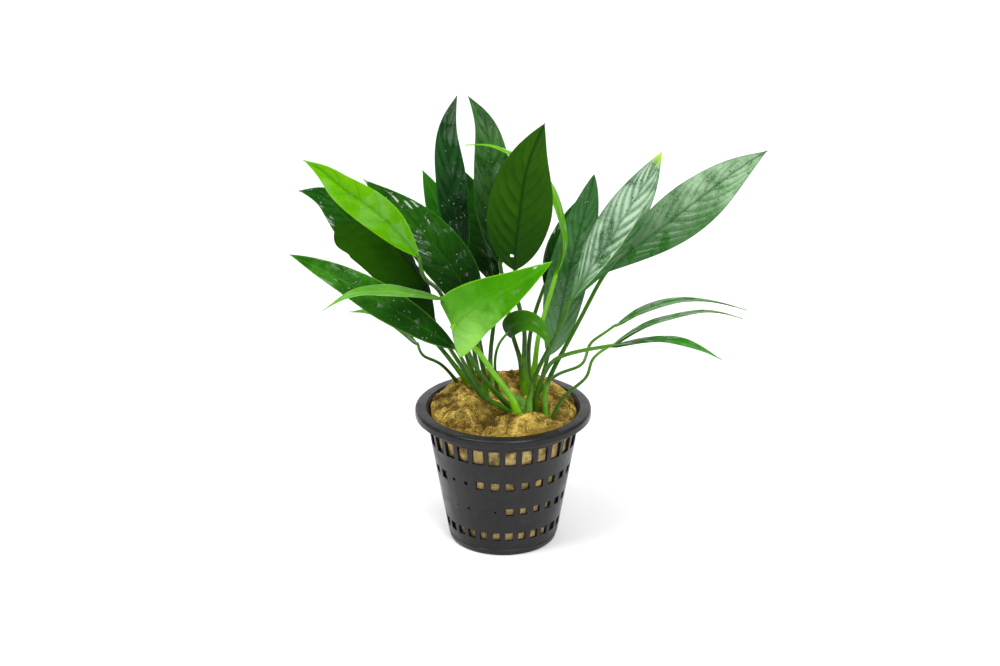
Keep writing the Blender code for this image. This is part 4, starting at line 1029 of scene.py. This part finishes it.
# How much thicker than the stalk the sheath at its foot is, as a share of the stalk's radius.
SHEATHS = {10: 0.9, 12: 1.3, 13: 0.9, 14: 0.6, 15: 0.8, 18: 0.8, 19: 0.6}
PLAIN_SHEATH = 0.25
BEADED_LEAVES = (2, 3, 5, 9, 10, 17, 18, 19)
BEADS = 45
BEAD_SIDES = 8


def bead_spots(points, seed):
    """Random places on a blade's upper skin, away from its ends, the way it faces there and a radius for
    each."""
    rng = np.random.default_rng(seed + 300)
    row = rng.integers(int(0.12 * ROWS), int(0.92 * ROWS), BEADS)
    column = rng.integers(4, COLUMNS - 4, BEADS)
    cell = row * COLUMNS + column
    facing = unit(points[cell] - points[cell + SKIN])
    return points[cell], facing, (0.14 + 0.26 * rng.random(BEADS) ** 2) * MM


def water_beads(spots, facing, radii):
    """Domes of three rings and a pole, 0.6 as high as their radius, closed beneath by a flat ring."""
    turn = 2 * np.pi * np.arange(BEAD_SIDES) / BEAD_SIDES
    a = unit(np.cross(facing, REFERENCE))
    b = np.cross(facing, a)
    flat = np.cos(turn)[None, :, None] * a[:, None] + np.sin(turn)[None, :, None] * b[:, None]
    profile = ((1.0, -0.05), (0.85, 0.32), (0.5, 0.52))
    rings = [flat * share + facing[:, None] * rise for share, rise in profile]
    shape = np.concatenate([*rings, facing[:, None] * 0.6], axis=1)
    points = (spots[:, None] + shape * radii[:, None, None]).reshape(-1, 3)
    start = shape.shape[1] * np.arange(len(spots))[:, None]
    sides = ring_quads(len(rings), BEAD_SIDES, start[..., None, None]).reshape(-1, 4)
    j = np.arange(BEAD_SIDES)[None, :]
    top, pole = start + (len(rings) - 1) * BEAD_SIDES, start + len(rings) * BEAD_SIDES
    caps = np.stack([top + j, top + (j + 1) % BEAD_SIDES, pole + 0 * j], axis=-1).reshape(-1, 3)
    return points, [*sides, *caps, *(start + j[:, ::-1])]


def stalk_path(leaf):
    """From inside the wool up to the blade and a little way along its underside."""
    x, y = np.array(leaf.foot) * MM
    start = np.array([x, y, wool_dome(x, y) - 1.2 * MM])
    first, second = placed(leaf.midrib[:2])
    path = smooth_curve(np.array([start, *placed(leaf.stalk), first]), STALK_STEPS)
    onward = first + unit(second - first) * np.linspace(0.02, 1.5, STALK_END)[:, None] * MM
    return np.concatenate([path, onward])


bead_sets = []
for number, leaf in enumerate(LEAVES, 1):
    name = f"leaf_{number:02d}"
    look = LOOKS[leaf.look]
    back_look = {**LOOKS[BACKS.get(leaf.look, BACKS[leaf.kind])], "pairs": look["pairs"]}
    reach = vein_reach(leaf, look["slant"])
    skin = leaf_skin(f"{name}_upper", look, reach)
    back = leaf_skin(f"{name}_under", back_look, reach)
    points, faces, uv, span, skins = blade(leaf, look, number)
    piece = mesh_piece(f"{name}_blade_skin", points, faces, [skin, back], uv, skins)
    mark(piece, "span", span)
    if number in BEADED_LEAVES:
        bead_sets.append(bead_spots(points, number))
    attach(piece, "root")
    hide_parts(f"{name}_blade")
    path = stalk_path(leaf)
    t = np.linspace(0, 1, len(path))
    sheath = SHEATHS.get(number, PLAIN_SHEATH) * np.exp(-((t / 0.16) ** 2))
    radii = leaf.radius * MM * (0.95 - 0.22 * t + sheath)
    radii[-STALK_END:] *= np.linspace(1, 0.35, STALK_END)
    tone = "lime" if number in BRIGHT_STALKS else "green" if leaf.kind == "green" else "dark"
    stalk = tube_piece(f"{name}_stalk_skin", path, radii, 20, STALKS[tone])
    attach(stalk, "root")
    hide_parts(f"{name}_stalk")

# Water stands on the dark blades in small round beads, left from misting.
WATER_SOCKETS = {"Base_Color": (0.03, 0.09, 0.03, 1), "Specular_IOR_Level": 0.6, "Coat_Weight": 1.0}
WATER = new_material("water", 0.04, Coat_Roughness=0.02, **WATER_SOCKETS)[0]
bead_points, bead_faces = water_beads(*(np.concatenate(part) for part in zip(*bead_sets)))
beads = mesh_piece("water_beads", bead_points, bead_faces, [WATER])
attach(beads, "root")


# ---------------------------------------------------------------- floor, light and camera
# A white sheet to stand on and a white wall well behind it, soft lamps above, in front and to both sides,
# and a short tele lens that looks down from the front.

def studio_sheet(name, corners, glow):
    """A flat white sheet that gives off a little light of its own."""
    mesh = bpy.data.meshes.new(name)
    mesh.from_pydata(corners, [], [(0, 1, 2, 3)])
    sockets = {"Base_Color": (0.80, 0.80, 0.80, 1), "Specular_IOR_Level": 0.0, "Emission_Color": (1, 1, 1, 1)}
    mesh.materials.append(new_material(f"{name}_white", 0.9, Emission_Strength=glow, **sockets)[0])
    sheet = bpy.data.objects.new(name, mesh)
    bpy.context.scene.collection.objects.link(sheet)
    return sheet


floor = studio_sheet("floor", [(-6, -4, 0), (6, -4, 0), (6, 8, 0), (-6, 8, 0)], 0.03)
backdrop = studio_sheet("backdrop", [(-5, 3.5, 0), (5, 3.5, 0), (5, 3.5, 3), (-5, 3.5, 3)], 0.7)


def area_light(name, place, aim, size, power):
    """A round soft lamp that points from its place at its aim."""
    light = bpy.data.lights.new(name, "AREA")
    light.shape = "DISK"
    light.size = size
    light.energy = power
    lamp = bpy.data.objects.new(name, light)
    toward = unit(np.array(aim, float) - np.array(place, float))
    lamp.location = place
    lamp.rotation_euler = (np.arccos(-toward[2]), 0, np.arctan2(toward[1], toward[0]) - np.pi / 2)
    bpy.context.scene.collection.objects.link(lamp)


area_light("overhead", (-0.3, 0.3, 3.0), (0, 0.3, 0), 4.0, 70)
area_light("key", (-0.65, -0.45, 1.2), (0, 0, 0.08), 0.65, 14)
area_light("front_box", (0.35, -0.9, 0.95), (0.02, 0, 0.08), 0.7, 14)
area_light("fill", (0.8, 0.0, 0.9), (0, 0, 0.05), 0.6, 2.5)

world = bpy.data.worlds.new("studio")
world.use_nodes = True
background = world.node_tree.nodes["Background"]
background.inputs["Color"].default_value = (1, 1, 1, 1)
background.inputs["Strength"].default_value = 0.12
bpy.context.scene.world = world

CAMERA_TILT_DOWN = np.radians(21.72)
camera_data = bpy.data.cameras.new("camera")
camera_data.lens = 85
camera_data.sensor_width = 36
camera = bpy.data.objects.new("camera", camera_data)
camera.location = (-0.001, -0.6763, 0.3377)
camera.rotation_euler = (np.pi / 2 - CAMERA_TILT_DOWN, 0, 0)
bpy.context.scene.collection.objects.link(camera)
bpy.context.scene.camera = camera
bpy.context.scene.view_settings.view_transform = "Standard"
